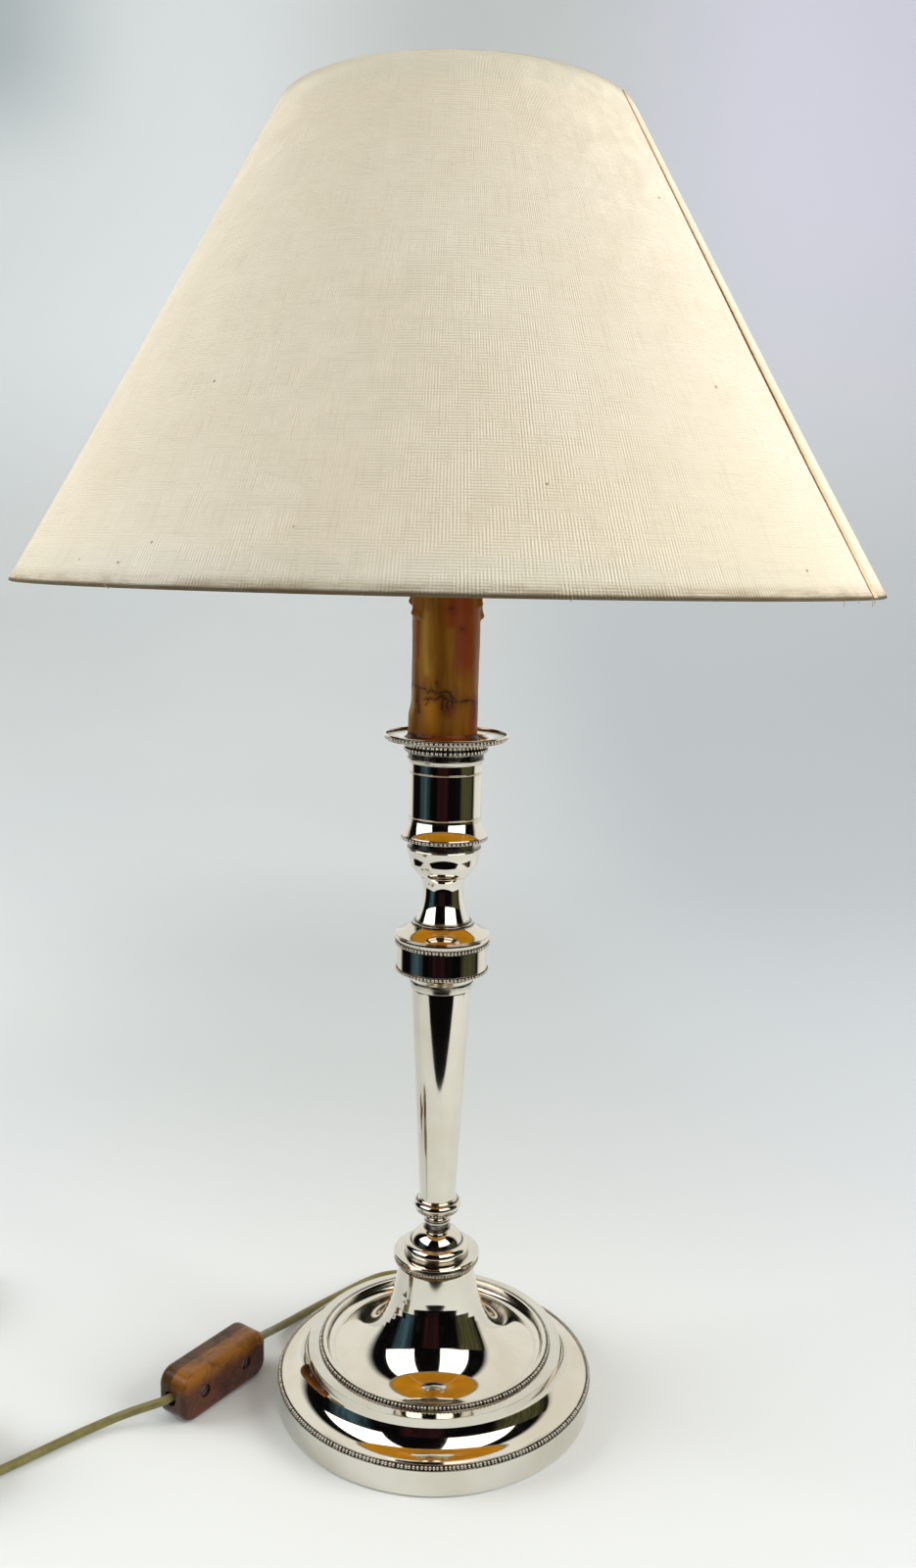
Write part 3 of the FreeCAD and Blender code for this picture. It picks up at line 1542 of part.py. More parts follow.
def make_cord_tie():
    """A flat tie round the coil's bundle of turns, in one upright plane."""
    per_turn = 2 * S.cord_radius + S.coil_gap
    inside_w = per_turn * S.coil_turns + 2 * S.cord_radius + 2 * S.tie_gap
    inside_h = per_turn * (COIL_LAYERS - 1) + 2 * S.cord_radius + 2 * S.tie_gap
    band = S.tie_thickness
    corner = S.cord_radius + S.tie_gap
    body = new_body("cord_tie")
    sketch = new_sketch(body, "cord_tie_outline", "XZ_Plane")
    draw_outline(
        sketch, rounded_corners(inside_w + band * 2, inside_h + band * 2, corner + band)
    )
    draw_outline(sketch, rounded_corners(inside_w, inside_h, corner))
    pad = padded_out(body, sketch, "cord_tie_band", S.tie_width)
    pad.Midplane = True
    centre = coil_point(0.0) + flat_way(S.coil_heading.value - 90) * S.coil_radius.value
    reach = S.coil_radius.value - per_turn.value * S.coil_turns.value / 2
    spot = centre + flat_way(S.tie_angle.value) * reach
    body.Placement = FreeCAD.Placement(
        FreeCAD.Vector(spot.x, spot.y, inside_h.value / 2 + band.value),
        FreeCAD.Rotation(FreeCAD.Vector(0, 0, 1), S.tie_angle.value),
    )


# ---------------------------------------------------------------- switch

# The switch's own frame: X along the cord, Y up when it stands on its narrow side, and Z out
# through the face with the screws. The seam between the halves is at Z = 0.
z_axis_out = FreeCAD.Rotation(FreeCAD.Vector(0, 0, 1), S.switch_heading.value).multiply(
    FreeCAD.Rotation(FreeCAD.Vector(1, 0, 0), 90)
)


def place_in_switch(thing, x=0.0, y=0.0, z=0.0, own=None):
    """Puts a piece that is modelled in the switch's frame where the switch lies."""
    base = FreeCAD.Placement(
        FreeCAD.Vector(S.switch_x.value, S.switch_y.value, S.switch_width.value / 2), z_axis_out
    )
    local = FreeCAD.Placement(FreeCAD.Vector(x, y, z), own or FreeCAD.Rotation())
    thing.Placement = base.multiply(local)


def switch_half(label, depth, reverse):
    """A hollow half of the switch with two screw posts and half of the cord's channel."""
    side = -1 if reverse else 1
    body = new_body(label)
    sketch = new_sketch(body, f"{label}_outline", "XY_Plane")
    draw_outline(sketch, rounded_corners(S.switch_length, S.switch_width, S.switch_corner))
    pad = padded_out(body, sketch, f"{label}_block", depth, reverse)
    doc.recompute()
    face_z = side * depth.value
    rims = [
        f"Edge{number}"
        for number, edge in enumerate(pad.Shape.Edges, start=1)
        if all(abs(vertex.Z - face_z) < 1e-6 for vertex in edge.Vertexes)
    ]
    edge = body.newObject("PartDesign::Fillet", f"{label}_edge")
    edge.Base = (pad, rims)
    edge.Radius = S.switch_edge.value
    edge.setExpression("Radius", S.switch_edge.text)
    doc.recompute()
    hollow = new_sketch(body, f"{label}_hollow_outline", "XY_Plane")
    wall = S.switch_wall
    draw_outline(
        hollow,
        rounded_corners(
            S.switch_length - wall * 2, S.switch_width - wall * 2, S.switch_corner - wall
        ),
    )
    for way in (-1, 1):
        draw_circle(hollow, S.screw_spacing * (0.5 * way), 0, S.switch_boss)
    inside = FreeCAD.Vector(0, 0, side * (depth.value - wall.value) / 2)
    cut_in(body, hollow, f"{label}_hollow", depth - wall, inside)
    for way in (-1, 1):
        name = f"{label}_entry_{'near' if way < 0 else 'far'}"
        entry = new_sketch(body, f"{name}_outline", "YZ_Plane")
        end = S.switch_length * (0.5 * way)
        entry.AttachmentOffset = FreeCAD.Placement(
            FreeCAD.Vector(0, 0, end.value), FreeCAD.Rotation()
        )
        entry.setExpression("AttachmentOffset.Base.z", end.text)
        draw_circle(entry, 0, 0, S.switch_entry)
        skin = FreeCAD.Vector(end.value - way * wall.value / 2, 0, side * 0.5)
        cut_in(body, entry, name, wall * 1.5, skin)
    return body


def make_switch():
    front = switch_half("switch_front", S.switch_front, False)
    face = S.switch_front
    holes = new_sketch(front, "screw_holes_outline", "XY_Plane")
    for way in (-1, 1):
        draw_circle(holes, S.screw_spacing * (0.5 * way), 0, S.screw_radius + S.screw_gap)
    post = FreeCAD.Vector(S.screw_spacing.value / 2, 0, face.value / 2)
    cut_in(front, holes, "screw_holes", face + 1, post)
    sinks = new_sketch(front, "screw_sinks_outline", "XY_Plane")
    sinks.AttachmentOffset = FreeCAD.Placement(
        FreeCAD.Vector(0, 0, face.value - S.screw_sink.value), FreeCAD.Rotation()
    )
    sinks.setExpression("AttachmentOffset.Base.z", (face - S.screw_sink).text)
    for way in (-1, 1):
        draw_circle(
            sinks, S.screw_spacing * (0.5 * way), 0, S.screw_head_radius + S.screw_gap * 2
        )
    rim = S.screw_radius.value + 0.6
    shoulder = FreeCAD.Vector(
        S.screw_spacing.value / 2 + rim, 0, face.value - S.screw_sink.value / 2
    )
    cut_in(front, sinks, "screw_sinks", S.screw_sink + 1, shoulder)
    place_in_switch(front)

    back = switch_half("switch_back", S.switch_back, True)
    pilots = new_sketch(back, "pilot_holes_outline", "XY_Plane")
    for way in (-1, 1):
        draw_circle(pilots, S.screw_spacing * (0.5 * way), 0, S.screw_radius + S.thread_gap)
    depth = S.switch_back - S.switch_wall
    post = FreeCAD.Vector(S.screw_spacing.value / 2, 0, -depth.value / 2)
    cut_in(back, pilots, "pilot_holes", depth, post)
    window = new_sketch(back, "window_outline", "XY_Plane")
    half_x = S.rocker_half_length + S.window_end_gap
    half_y = S.rocker_width / 2 + S.window_side_gap
    draw_outline(
        window,
        [
            (0 - half_x, 0 - half_y),
            (half_x, 0 - half_y),
            (half_x, half_y),
            (0 - half_x, half_y),
        ],
    )
    skin = FreeCAD.Vector(0, 0, S.switch_wall.value / 2 - S.switch_back.value)
    cut_in(back, window, "window", S.switch_back + 1, skin)
    place_in_switch(back)
    make_rocker()
    make_switch_screws(depth)
    make_switch_contacts()


def make_rocker():
    """The rocker, modelled about its pin with its crown towards +Z, pressed at one end."""
    rocker = new_body("switch_rocker")
    sketch = new_sketch(rocker, "rocker_outline", "XZ_Plane")
    end = S.rocker_half_length
    draw_outline(
        sketch,
        [
            (0 - end, S.rocker_crown),
            (0.8 - end, 0.6),
            (-3.0, 0 - S.rocker_depth),
            (3.0, 0 - S.rocker_depth),
            (end - 0.8, 0.6),
            (end, S.rocker_crown, -2.0),
            (0, S.rocker_dip, -2.0),
        ],
    )
    draw_circle(sketch, 0, 0, S.pin_radius + S.pin_clearance)
    pad = padded_out(rocker, sketch, "rocker_block", S.rocker_width)
    pad.Midplane = True
    doc.recompute()
    pin_z = S.rocker_pin_depth.value - S.switch_back.value
    tilt = FreeCAD.Rotation(FreeCAD.Vector(0, 1, 0), S.rocker_tilt.value)
    flip = FreeCAD.Rotation(FreeCAD.Vector(1, 0, 0), 180)
    place_in_switch(rocker, z=pin_z, own=tilt.multiply(flip))
    pin_length = S.switch_width - S.switch_wall * 2 - S.screw_gap * 2
    pin = helper("Part::Cylinder", "rocker_pin", Radius=S.pin_radius, Height=pin_length)
    pin.Label = "rocker_pin"
    along = FreeCAD.Rotation(FreeCAD.Vector(1, 0, 0), -90)
    place_in_switch(pin, y=-pin_length.value / 2, z=pin_z, own=along)


def make_switch_screws(pilot_depth):
    seat = S.switch_front - S.screw_sink
    length = seat + pilot_depth - S.screw_gap * 3
    screws = []
    for count, way in enumerate((-1, 1), start=1):
        shank = helper(
            "Part::Cylinder", f"screw_shank_{count}", Radius=S.screw_radius, Height=length
        )
        head = helper(
            "Part::Cylinder",
            f"screw_head_{count}",
            Radius=S.screw_head_radius,
            Height=S.screw_head_height,
        )
        place(head, 0, 0, length)
        slot = helper(
            "Part::Box",
            f"screw_slot_{count}",
            Length=S.screw_head_radius * 2 + 1,
            Width=S.screw_slot,
            Height=S.screw_slot_depth + 1,
        )
        place(
            slot,
            0 - S.screw_head_radius - 0.5,
            S.screw_slot / -2,
            length + S.screw_head_height - S.screw_slot_depth,
        )
        blank = grouped(f"screw_blank_{count}", [shank, head])
        screw = doc.addObject("Part::Cut", f"screw_{count}")
        screw.Base = blank
        screw.Tool = slot
        own = FreeCAD.Rotation(FreeCAD.Vector(0, 0, 1), 35 * count)
        z = seat.value - length.value
        place_in_switch(screw, way * S.screw_spacing.value / 2, 0, z, own)
        screws.append(screw)
    grouped("switch_screws", screws)


def make_switch_contacts():
    """Four terminals on the front half's floor, clear of the posts and the cord."""
    size = S.terminal_block
    length = S.terminal_block_length
    blocks = []
    for count in range(4):
        block = helper(
            "Part::Box", f"terminal_{count + 1}", Length=length, Width=size, Height=size
        )
        x = (0.8 if count % 2 else -0.8 - length.value)
        y = (3.2 if count // 2 else -3.2 - size.value)
        place_in_switch(block, x, y, S.switch_front.value - S.switch_wall.value - size.value)
        blocks.append(block)
    grouped("switch_contacts", blocks)


# ---------------------------------------------------------------- plug


def make_plug():
    """A flat two-pin plug. Its X axis points from the cord to the pins."""
    turn = FreeCAD.Rotation(FreeCAD.Vector(0, 0, 1), S.plug_heading.value)
    way = flat_way(S.plug_heading.value)
    body = new_body("plug_body")
    sketch = new_sketch(body, "plug_outline", "XY_Plane")
    rear = S.plug_rear / 2
    front = S.plug_front / 2
    draw_outline(
        sketch,
        [
            (0, 0 - rear),
            (S.plug_length * 0.45, 0 - front),
            (S.plug_length, 0 - front),
            (S.plug_length, front),
            (S.plug_length * 0.45, front),
            (0, rear),
        ],
    )
    pad = padded_out(body, sketch, "plug_block", S.plug_height)
    doc.recompute()
    edges = [
        f"Edge{number}"
        for number, edge in enumerate(pad.Shape.Edges, start=1)
        if edge.BoundBox.XMax < S.plug_length.value - 0.01 or edge.BoundBox.XLength > 1
    ]
    rounding = body.newObject("PartDesign::Fillet", "plug_rounding")
    rounding.Base = (pad, edges)
    rounding.Radius = S.plug_edge.value
    rounding.setExpression("Radius", S.plug_edge.text)
    place(body, S.plug_x, S.plug_y, 0, turn)

    nose_turn = FreeCAD.Rotation(FreeCAD.Vector(0, 0, 1), way * -1)
    bore = S.cord_radius + S.cord_clearance
    turned(
        "plug_sleeve",
        [
            (bore, 0),
            (S.plug_sleeve_radius, 0),
            (S.plug_sleeve_tip, S.plug_sleeve),
            (0, S.plug_sleeve),
            (0, S.plug_sleeve - 1.0),
            (bore, S.plug_sleeve - 1.0),
        ],
        S.plug_height / 2,
        S.plug_x,
        S.plug_y,
        nose_turn,
    )
    pins = []
    for side in (-1, 1):
        pin = helper(
            "Part::Cylinder",
            "pin_left" if side < 0 else "pin_right",
            Radius=S.plug_pin_radius,
            Height=S.plug_pin_length,
        )
        local = FreeCAD.Vector(S.plug_length.value, side * S.plug_pin_spacing.value / 2, 0)
        spot = turn.multVec(local)
        rotation = FreeCAD.Rotation(FreeCAD.Vector(0, 0, 1), way)
        place(pin, S.plug_x + spot.x, S.plug_y + spot.y, S.plug_height / 2, rotation)
        pins.append(pin)
    grouped("plug_pins", pins)


make_foot()
make_cable_bush()
make_clamp()
make_lower_stem()
make_drum()
make_upper_stem()
make_drip_pan()
make_candle()
make_lampholder()
make_bulb()
make_shade()
make_inner_cable()
make_cords()
make_cord_tie()
make_switch()
make_plug()
doc.recompute()

NODES = """
base_shell outer_bead_ring inner_bead_ring felt_pad bottom_plate base_weight cable_bush
central_tube clamp_washer clamp_nut collar collar_bead_ring lower_vase knop_bead_ring column
drum drum_lower_beads drum_upper_beads waist bowl candle_socket socket_beads
drip_pan pan_lower_beads pan_rim_beads candle_sleeve
holder_cap holder_skirt holder_insert thread_shell centre_contact terminal_screws shade_ring_nut
bulb_contact bulb_insulator bulb_cap bulb_glass bulb_mount filament
shade_cover bottom_hem top_hem bottom_wire_ring top_wire_ring shade_fitter
inner_cable cord_lead cord_run cord_coil cord_tail cord_tie
switch_front switch_back switch_rocker rocker_pin switch_screws switch_contacts
plug_body plug_sleeve plug_pins
""".split()

faults = [
    f"{thing.Name}: {thing.State}"
    for thing in doc.Objects
    if "Invalid" in thing.State or "Error" in thing.State
]
shapes = {}
for node in NODES:
    shape = doc.getObjectsByLabel(node)[0].Shape
    if shape.isNull() or not shape.isValid() or not shape.Solids:
        faults.append(f"{node}: no valid solid")
    shapes[node] = shape
if faults:
    raise RuntimeError("; ".join(faults))

os.makedirs("parts", exist_ok=True)
for node, shape in shapes.items():
    shape.exportStep(f"parts/{node}.step")
print(f"{len(shapes)} sub-parts written")
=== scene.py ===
import math
import random

import bpy
from mathutils import Matrix, Vector, noise


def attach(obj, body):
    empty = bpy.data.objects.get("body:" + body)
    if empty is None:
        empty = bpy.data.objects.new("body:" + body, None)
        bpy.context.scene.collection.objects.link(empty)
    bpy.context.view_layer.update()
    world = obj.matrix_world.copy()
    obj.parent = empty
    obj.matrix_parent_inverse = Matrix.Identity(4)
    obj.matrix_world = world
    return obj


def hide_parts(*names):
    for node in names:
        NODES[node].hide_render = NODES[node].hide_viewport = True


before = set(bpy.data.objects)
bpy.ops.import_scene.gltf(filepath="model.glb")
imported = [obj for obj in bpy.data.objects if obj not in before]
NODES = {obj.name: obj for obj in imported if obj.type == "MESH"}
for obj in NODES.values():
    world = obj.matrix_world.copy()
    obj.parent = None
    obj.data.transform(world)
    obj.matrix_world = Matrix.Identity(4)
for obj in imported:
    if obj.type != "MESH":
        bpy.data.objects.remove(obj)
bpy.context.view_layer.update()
MM = 0.001
TAU = 2 * math.pi
scene = bpy.context.scene


def linear(red, green, blue):
    """A colour given as 0 to 255 in sRGB, as linear values with alpha."""

    def one(value):
        value /= 255
        return value / 12.92 if value <= 0.04045 else ((value + 0.055) / 1.055) ** 2.4

    return (one(red), one(green), one(blue), 1.0)


# ---------------------------------------------------------------- camera


def make_camera():
    """The photo's camera, from a fit to the lamp's outline. Sizes in pixels, mm and degrees."""
    focal, long_side = 1316.1, 1600.0
    aside, away, height = 1.93, 531.9, 368.9
    pitch, roll, yaw = (math.radians(angle) for angle in (9.65, 1.2, 0.36))
    data = bpy.data.cameras.new("camera")
    data.sensor_width = 36.0
    data.lens = focal * data.sensor_width / long_side
    data.dof.use_dof = False
    data.clip_start, data.clip_end = 0.02, 30.0
    camera = bpy.data.objects.new("camera", data)
    scene.collection.objects.link(camera)
    right = Vector((math.cos(yaw), -math.sin(yaw), 0))
    forward = Vector(
        (math.sin(yaw) * math.cos(pitch), math.cos(yaw) * math.cos(pitch), -math.sin(pitch))
    )
    up = right.cross(forward)
    across = right * math.cos(roll) + up * math.sin(roll)
    upward = up * math.cos(roll) - right * math.sin(roll)
    turn = Matrix((across, upward, -forward)).transposed().to_4x4()
    camera.matrix_world = Matrix.Translation(Vector((aside, -away, height)) * MM) @ turn
    scene.camera = camera


# ---------------------------------------------------------------- materials


class Shader:
    """A material's node tree, with short ways to add nodes and link them."""

    def __init__(self, name, **inputs):
        self.material = bpy.data.materials.new(name)
        self.material.use_nodes = True
        self.tree = self.material.node_tree
        self.body = self.tree.nodes["Principled BSDF"]
        self.set(**inputs)

    def fill(self, socket, value):
        """Links a socket to another one, or gives it a value."""
        if isinstance(value, bpy.types.NodeSocket):
            self.tree.links.new(value, socket)
        else:
            socket.default_value = value

    def set(self, **inputs):
        """Fills inputs of the main shader, named with _ for a blank."""
        for key, value in inputs.items():
            self.fill(self.body.inputs[key.replace("_", " ")], value)

    def add(self, kind, inputs=None, **settings):
        node = self.tree.nodes.new(kind)
        for key, value in settings.items():
            setattr(node, key, value)
        for key, value in (inputs or {}).items():
            self.fill(node.inputs[key], value)
        return node

    def place(self, scale=(1, 1, 1), source="Object"):
        """Coordinates in the object's own frame, or its UV map, scaled."""
        vector = self.add("ShaderNodeTexCoord").outputs[source]
        return self.add("ShaderNodeMapping", {"Vector": vector, "Scale": scale}).outputs[0]

    def axes(self, vector=None):
        """The X, Y and Z of a vector, or of the place in the object's own frame."""
        return self.add("ShaderNodeSeparateXYZ", {"Vector": vector or self.place()}).outputs

    def bearing(self):
        """Degrees round the lamp from the viewer, positive to the right."""
        across, back, _ = self.axes()
        return self.times(self.math("ARCTAN2", across, self.times(back, -1.0)), 180 / math.pi)

    def noise(self, scale, detail=3.0, rough=0.55, vector=None, distortion=0.0):
        inputs = {"Scale": scale, "Detail": detail, "Roughness": rough, "Distortion": distortion}
        inputs["Vector"] = vector or self.place()
        return self.add("ShaderNodeTexNoise", inputs).outputs["Fac"]

    def range(self, value, low, high, to_low=0.0, to_high=1.0):
        """A value's smooth way from low to high, as to_low to to_high."""
        inputs = {"Value": value, "From Min": low, "From Max": high}
        inputs.update({"To Min": to_low, "To Max": to_high})
        node = self.add("ShaderNodeMapRange", inputs, interpolation_type="SMOOTHSTEP")
        return node.outputs[0]

    def math(self, operation, first, second=0.0):
        return self.add("ShaderNodeMath", {0: first, 1: second}, operation=operation).outputs[0]

    def times(self, first, second):
        return self.math("MULTIPLY", first, second)

    def mix(self, share, first, second):
        """Two colours mixed. The sockets 0, 6, 7 and 2 are those of the node's colour mode."""
        node = self.add("ShaderNodeMix", {0: share, 6: first, 7: second}, data_type="RGBA")
        return node.outputs[2]

    def bump(self, height, distance, strength=1.0):
        inputs = {"Height": height, "Distance": distance, "Strength": strength}
        return self.add("ShaderNodeBump", inputs).outputs[0]

    def attribute(self, name):
        return self.add("ShaderNodeAttribute", attribute_name=name).outputs["Fac"]

    def surface(self, shader):
        """Makes a shader the material's surface."""
        self.tree.links.new(shader, self.tree.nodes["Material Output"].inputs[0])
        return self.material

    def let_through(self, share, color):
        """Lets a share of the light through the surface, tinted."""
        through = self.add("ShaderNodeBsdfTranslucent", {"Color": color}).outputs[0]
        inputs = {0: share, 1: self.body.outputs[0], 2: through}
        return self.surface(self.add("ShaderNodeMixShader", inputs).outputs[0])

    def glowing(self, color):
        """Makes the surface a light of its own."""
        light = self.add("ShaderNodeEmission", {"Color": color, "Strength": 1.0})
        return self.surface(light.outputs[0])


def silver_plate(name, rough):
    """Polished plate, dark in the grooves, where the meshes carry a tarnish value."""
    s = Shader(name, Metallic=1.0)
    deep = s.attribute("tarnish")
    patches = s.noise(260.0, 4.0, 0.65)
    cloud = s.noise(28.0, 3.0, 0.6)
    dark = s.times(deep, s.range(patches, 0.25, 0.6, 0.55, 1.0))
    clean = s.mix(s.range(cloud, 0.35, 0.7), linear(238, 232, 218), linear(228, 219, 201))
    s.set(Base_Color=s.mix(dark, clean, linear(30, 25, 20)))
    wear = s.range(cloud, 0.35, 0.75, rough, rough + 0.03)
    s.set(Roughness=s.math("ADD", wear, s.times(dark, 0.28)))
    ripple = s.noise(55.0, 2.0, 0.5)
    s.set(Normal=s.bump(ripple, 0.00006, 0.5))
    return s.material


def plain(name, first, second, scale, bump=0.0, **inputs):
    """A plain finish with a little uneven colour and grain. The colours are given as sRGB."""
    s = Shader(name, **inputs)
    grain = s.noise(scale, 4.0, 0.6)
    tone = s.mix(s.range(grain, 0.3, 0.7), linear(*first), linear(*second))
    s.set(Base_Color=tone)
    if bump:
        s.set(Normal=s.bump(grain, bump))
    return s.material


def candle_wax():
    """Amber-brown wax, streaked down its length and marked where the mesh says so; one of the
    marks is a painted highlight.
    """
    s = Shader("candle_wax")
    streaks = s.noise(1.0, 5.0, 0.6, s.place((170, 170, 22)))
    blots = s.noise(1.0, 4.0, 0.6, s.place((75, 75, 45)))
    base = s.mix(s.range(streaks, 0.3, 0.72), linear(92, 56, 0), linear(130, 88, 0))
    across, _, height = s.axes()
    base = s.mix(s.range(across, 0.006, 0.014, 0.0, 0.5), base, linear(118, 62, 0))
    base = s.mix(s.range(blots, 0.56, 0.8, 0.0, 0.3), base, linear(104, 52, 4))
    for mark, color, most in (
        ("gold", linear(176, 118, 8), 0.6),
        # A painted highlight: pale olive where the wax would mirror the bright panel on the left.
        ("painted_highlight", linear(146, 122, 42), 0.7),
        ("red", linear(112, 38, 0), 0.85),
        ("drip", linear(110, 62, 3), 0.75),
    ):
        base = s.mix(s.times(s.attribute(mark), most), base, color)
    ragged = s.range(s.noise(900.0, 3.0, 0.6), 0.35, 0.6, 0.5, 1.0)
    burnt = s.times(s.attribute("burnt"), ragged)
    base = s.mix(s.times(burnt, 0.95), base, linear(30, 9, 4))
    # Where it meets the pan it is redder and glossy, with painted shade at both sides.
    foot = s.range(height, 0.3012, 0.2998)
    base = s.mix(s.times(foot, 0.8), base, linear(122, 48, 6))
    # Painted shade: the foot darkened at its left and right sides as seen from the front.
    painted_foot_shade = s.times(foot, s.range(s.math("ABSOLUTE", across), 0.004, 0.012))
    base = s.mix(s.times(painted_foot_shade, 0.9), base, linear(36, 14, 8))
    s.set(Base_Color=base, Roughness=s.range(streaks, 0.3, 0.7, 0.34, 0.46))
    s.set(Specular_IOR_Level=0.14, Coat_Weight=s.times(foot, 0.25), Coat_Roughness=0.12)
    s.set(Subsurface_Weight=0.08, Subsurface_Scale=0.002, Subsurface_Radius=(1.0, 0.4, 0.1))
    s.set(Normal=s.bump(s.math("ADD", streaks, blots), 0.00035, 0.6))
    return s.material


def linen():
    """Woven linen: fine warp and weft with slubs, specks, a grubby lower hem and a painted shadow
    line along its lower edge.
    """
    s = Shader("linen_cover", Roughness=0.92, Specular_IOR_Level=0.12)
    weave_map = s.place(source="UV")
    warp = s.noise(1.0, 2.0, 0.5, s.place((1500, 60, 1), source="UV"))
    weft = s.noise(1.0, 2.0, 0.5, s.place((55, 1400, 1), source="UV"))
    threads = []
    for direction, scale in (("X", 300.0), ("Y", 310.0)):
        inputs = {"Vector": weave_map, "Scale": scale, "Distortion": 0.7, "Detail": 1.0}
        wave = s.add("ShaderNodeTexWave", inputs, bands_direction=direction)
        threads.append(wave.outputs["Fac"])
    uneven = s.noise(130.0, 2.0, 0.6)
    upright = s.times(threads[0], s.range(uneven, 0.35, 0.6))
    level_ones = s.times(threads[1], s.range(uneven, 0.65, 0.4))
    cloth = s.math("ADD", upright, level_ones)
    cloud = s.noise(9.0, 3.0, 0.6)
    tone = s.mix(s.range(cloud, 0.3, 0.7), linear(239, 232, 214), linear(231, 222, 199))
    tone = s.mix(s.times(cloth, 0.15), tone, linear(188, 172, 134))
    tone = s.mix(s.range(warp, 0.5, 0.76, 0.0, 0.26), tone, linear(196, 180, 144))
    tone = s.mix(s.range(weft, 0.5, 0.76, 0.0, 0.2), tone, linear(202, 188, 154))
    cloth = s.math("ADD", cloth, s.math("ADD", warp, weft))
    specks = s.add(
        "ShaderNodeTexVoronoi", {"Vector": s.place(), "Scale": 70.0, "Randomness": 1.0}
    )
    chance = s.add("ShaderNodeSeparateColor", {"Color": specks.outputs["Color"]}).outputs[0]
    speck = s.range(specks.outputs["Distance"], 0.03, 0.05, 1.0, 0.0)
    spot = s.times(speck, s.range(chance, 0.68, 0.74))
    tone = s.mix(s.times(spot, 0.7), tone, linear(104, 82, 52))
    _, level, _ = s.axes(weave_map)
    smut = s.noise(1.0, 4.0, 0.7, s.place((60, 220, 1), source="UV"))
    hem = s.times(s.range(level, 0.0, 0.007, 1.0, 0.0), s.range(smut, 0.35, 0.65, 0.25, 0.8))
    tone = s.mix(hem, tone, linear(150, 128, 96))
    # Painted shadow: a dark line along the very bottom edge, the hem's shadow.
    line = s.range(level, 0.0006, 0.0016, 0.9, 0.0)
    tone = s.mix(line, tone, linear(88, 76, 54))
    s.set(Base_Color=tone, Normal=s.bump(cloth, 0.00022, 0.75))
    return s.let_through(0.14, s.mix(0.5, tone, linear(255, 240, 208)))


def gold_lining():
    """The shade's inside: a smooth gold-coloured film that lets a little light through."""
    s = Shader("gold_lining", Roughness=0.5)
    cloud = s.noise(14.0, 3.0, 0.6)
    tone = s.mix(s.range(cloud, 0.3, 0.7), linear(244, 186, 16), linear(228, 166, 8))
    s.set(Base_Color=tone)
    return s.let_through(0.35, linear(250, 190, 24))


def flex_sheath():
    """Olive-gold PVC, slightly dusty."""
    s = Shader("flex_sheath")
    dust = s.noise(160.0, 4.0, 0.65)
    tone = s.mix(s.range(dust, 0.3, 0.7), linear(102, 95, 46), linear(124, 116, 64))
    s.set(Base_Color=tone, Roughness=s.range(dust, 0.3, 0.7, 0.32, 0.5))
    s.set(Coat_Weight=0.15, Coat_Roughness=0.2)
    return s.material


def bakelite(name, light, dark, highlight_share, rough):
    """Mottled amber-brown moulding with a soft shine, and a painted highlight lighter at its
    upper edge.
    """
    s = Shader(name)
    mottle = s.noise(120.0, 4.0, 0.6, distortion=0.8)
    _, _, height = s.axes()
    tone = s.mix(s.range(mottle, 0.3, 0.72), dark, light)
    # Painted highlight: the moulding lighter toward its upper edge, where the light falls on it.
    painted_top_highlight = s.times(s.range(height, 0.013, 0.021, 0.0, highlight_share), s.range(mottle, 0.2, 0.6))
    tone = s.mix(painted_top_highlight, tone, linear(150, 98, 22))
    s.set(Base_Color=tone, Roughness=s.range(mottle, 0.3, 0.7, rough, rough + 0.12))
    s.set(Specular_IOR_Level=0.3, Coat_Weight=0.15, Coat_Roughness=0.12)
    return s.material


# ---------------------------------------------------------------- mesh helpers

# Turned metal: degrees between points on an arc, degrees of turn from which a corner counts as
# sharp, in mm that corner's rounding and how far tarnish spreads from it when it is hollow, and
# the share by which a turned piece is out of round.
ARC_STEP = 4
SHARP = 13
EDGE_RADIUS = 0.22
GRIME_REACH = 0.9
OUT_OF_ROUND = 0.0004


def outward(angle):
    """A level unit vector at an angle in radians."""
    return Vector((math.cos(angle), math.sin(angle), 0))


def seen_at(angle, radius, height):
    """A place at so many degrees round the lamp from the viewer."""
    turn = math.radians(angle)
    return (math.sin(turn) * radius, -math.cos(turn) * radius, height)


def ring_faces(here, there, segments):
    """Faces between two rings of points that start at the given numbers."""
    following = [*range(1, segments), 0]
    return [(here + i, here + k, there + k, there + i) for i, k in enumerate(following)]


def new_object(name, points, faces, material):
    """A smooth mesh from points in metres, with one material or several."""
    mesh = bpy.data.meshes.new(name)
    mesh.from_pydata(points, [], faces)
    mesh.update()
    mesh.shade_smooth()
    for one in material if isinstance(material, list) else [material]:
        mesh.materials.append(one)
    thing = bpy.data.objects.new(name, mesh)
    scene.collection.objects.link(thing)
    return thing


def float_attribute(thing, name, values):
    layer = thing.data.attributes.new(name, "FLOAT", "POINT")
    layer.data.foreach_set("value", values)


def expand(corners):
    """An outline's corners (r, z) or (r, z, turn) as a close run of points, in mm."""
    points = []
    for i, corner in enumerate(corners):
        start = Vector(corner[:2])
        end = Vector(corners[(i + 1) % len(corners)][:2])
        points.append(start)
        turn = corner[2] if len(corner) > 2 else 0
        if not turn:
            continue
        angle = math.radians(turn)
        chord = end - start
        normal = Vector((-chord.y, chord.x)).normalized()
        reach = chord.length / 2 / math.tan(angle / 2)
        centre = (start + end) / 2 + normal * reach
        arm = start - centre
        steps = max(2, math.ceil(abs(turn) / ARC_STEP))
        for k in range(1, steps):
            cos, sin = math.cos(angle * k / steps), math.sin(angle * k / steps)
            spun = Vector((arm.x * cos - arm.y * sin, arm.x * sin + arm.y * cos))
            points.append(centre + spun)
    return points


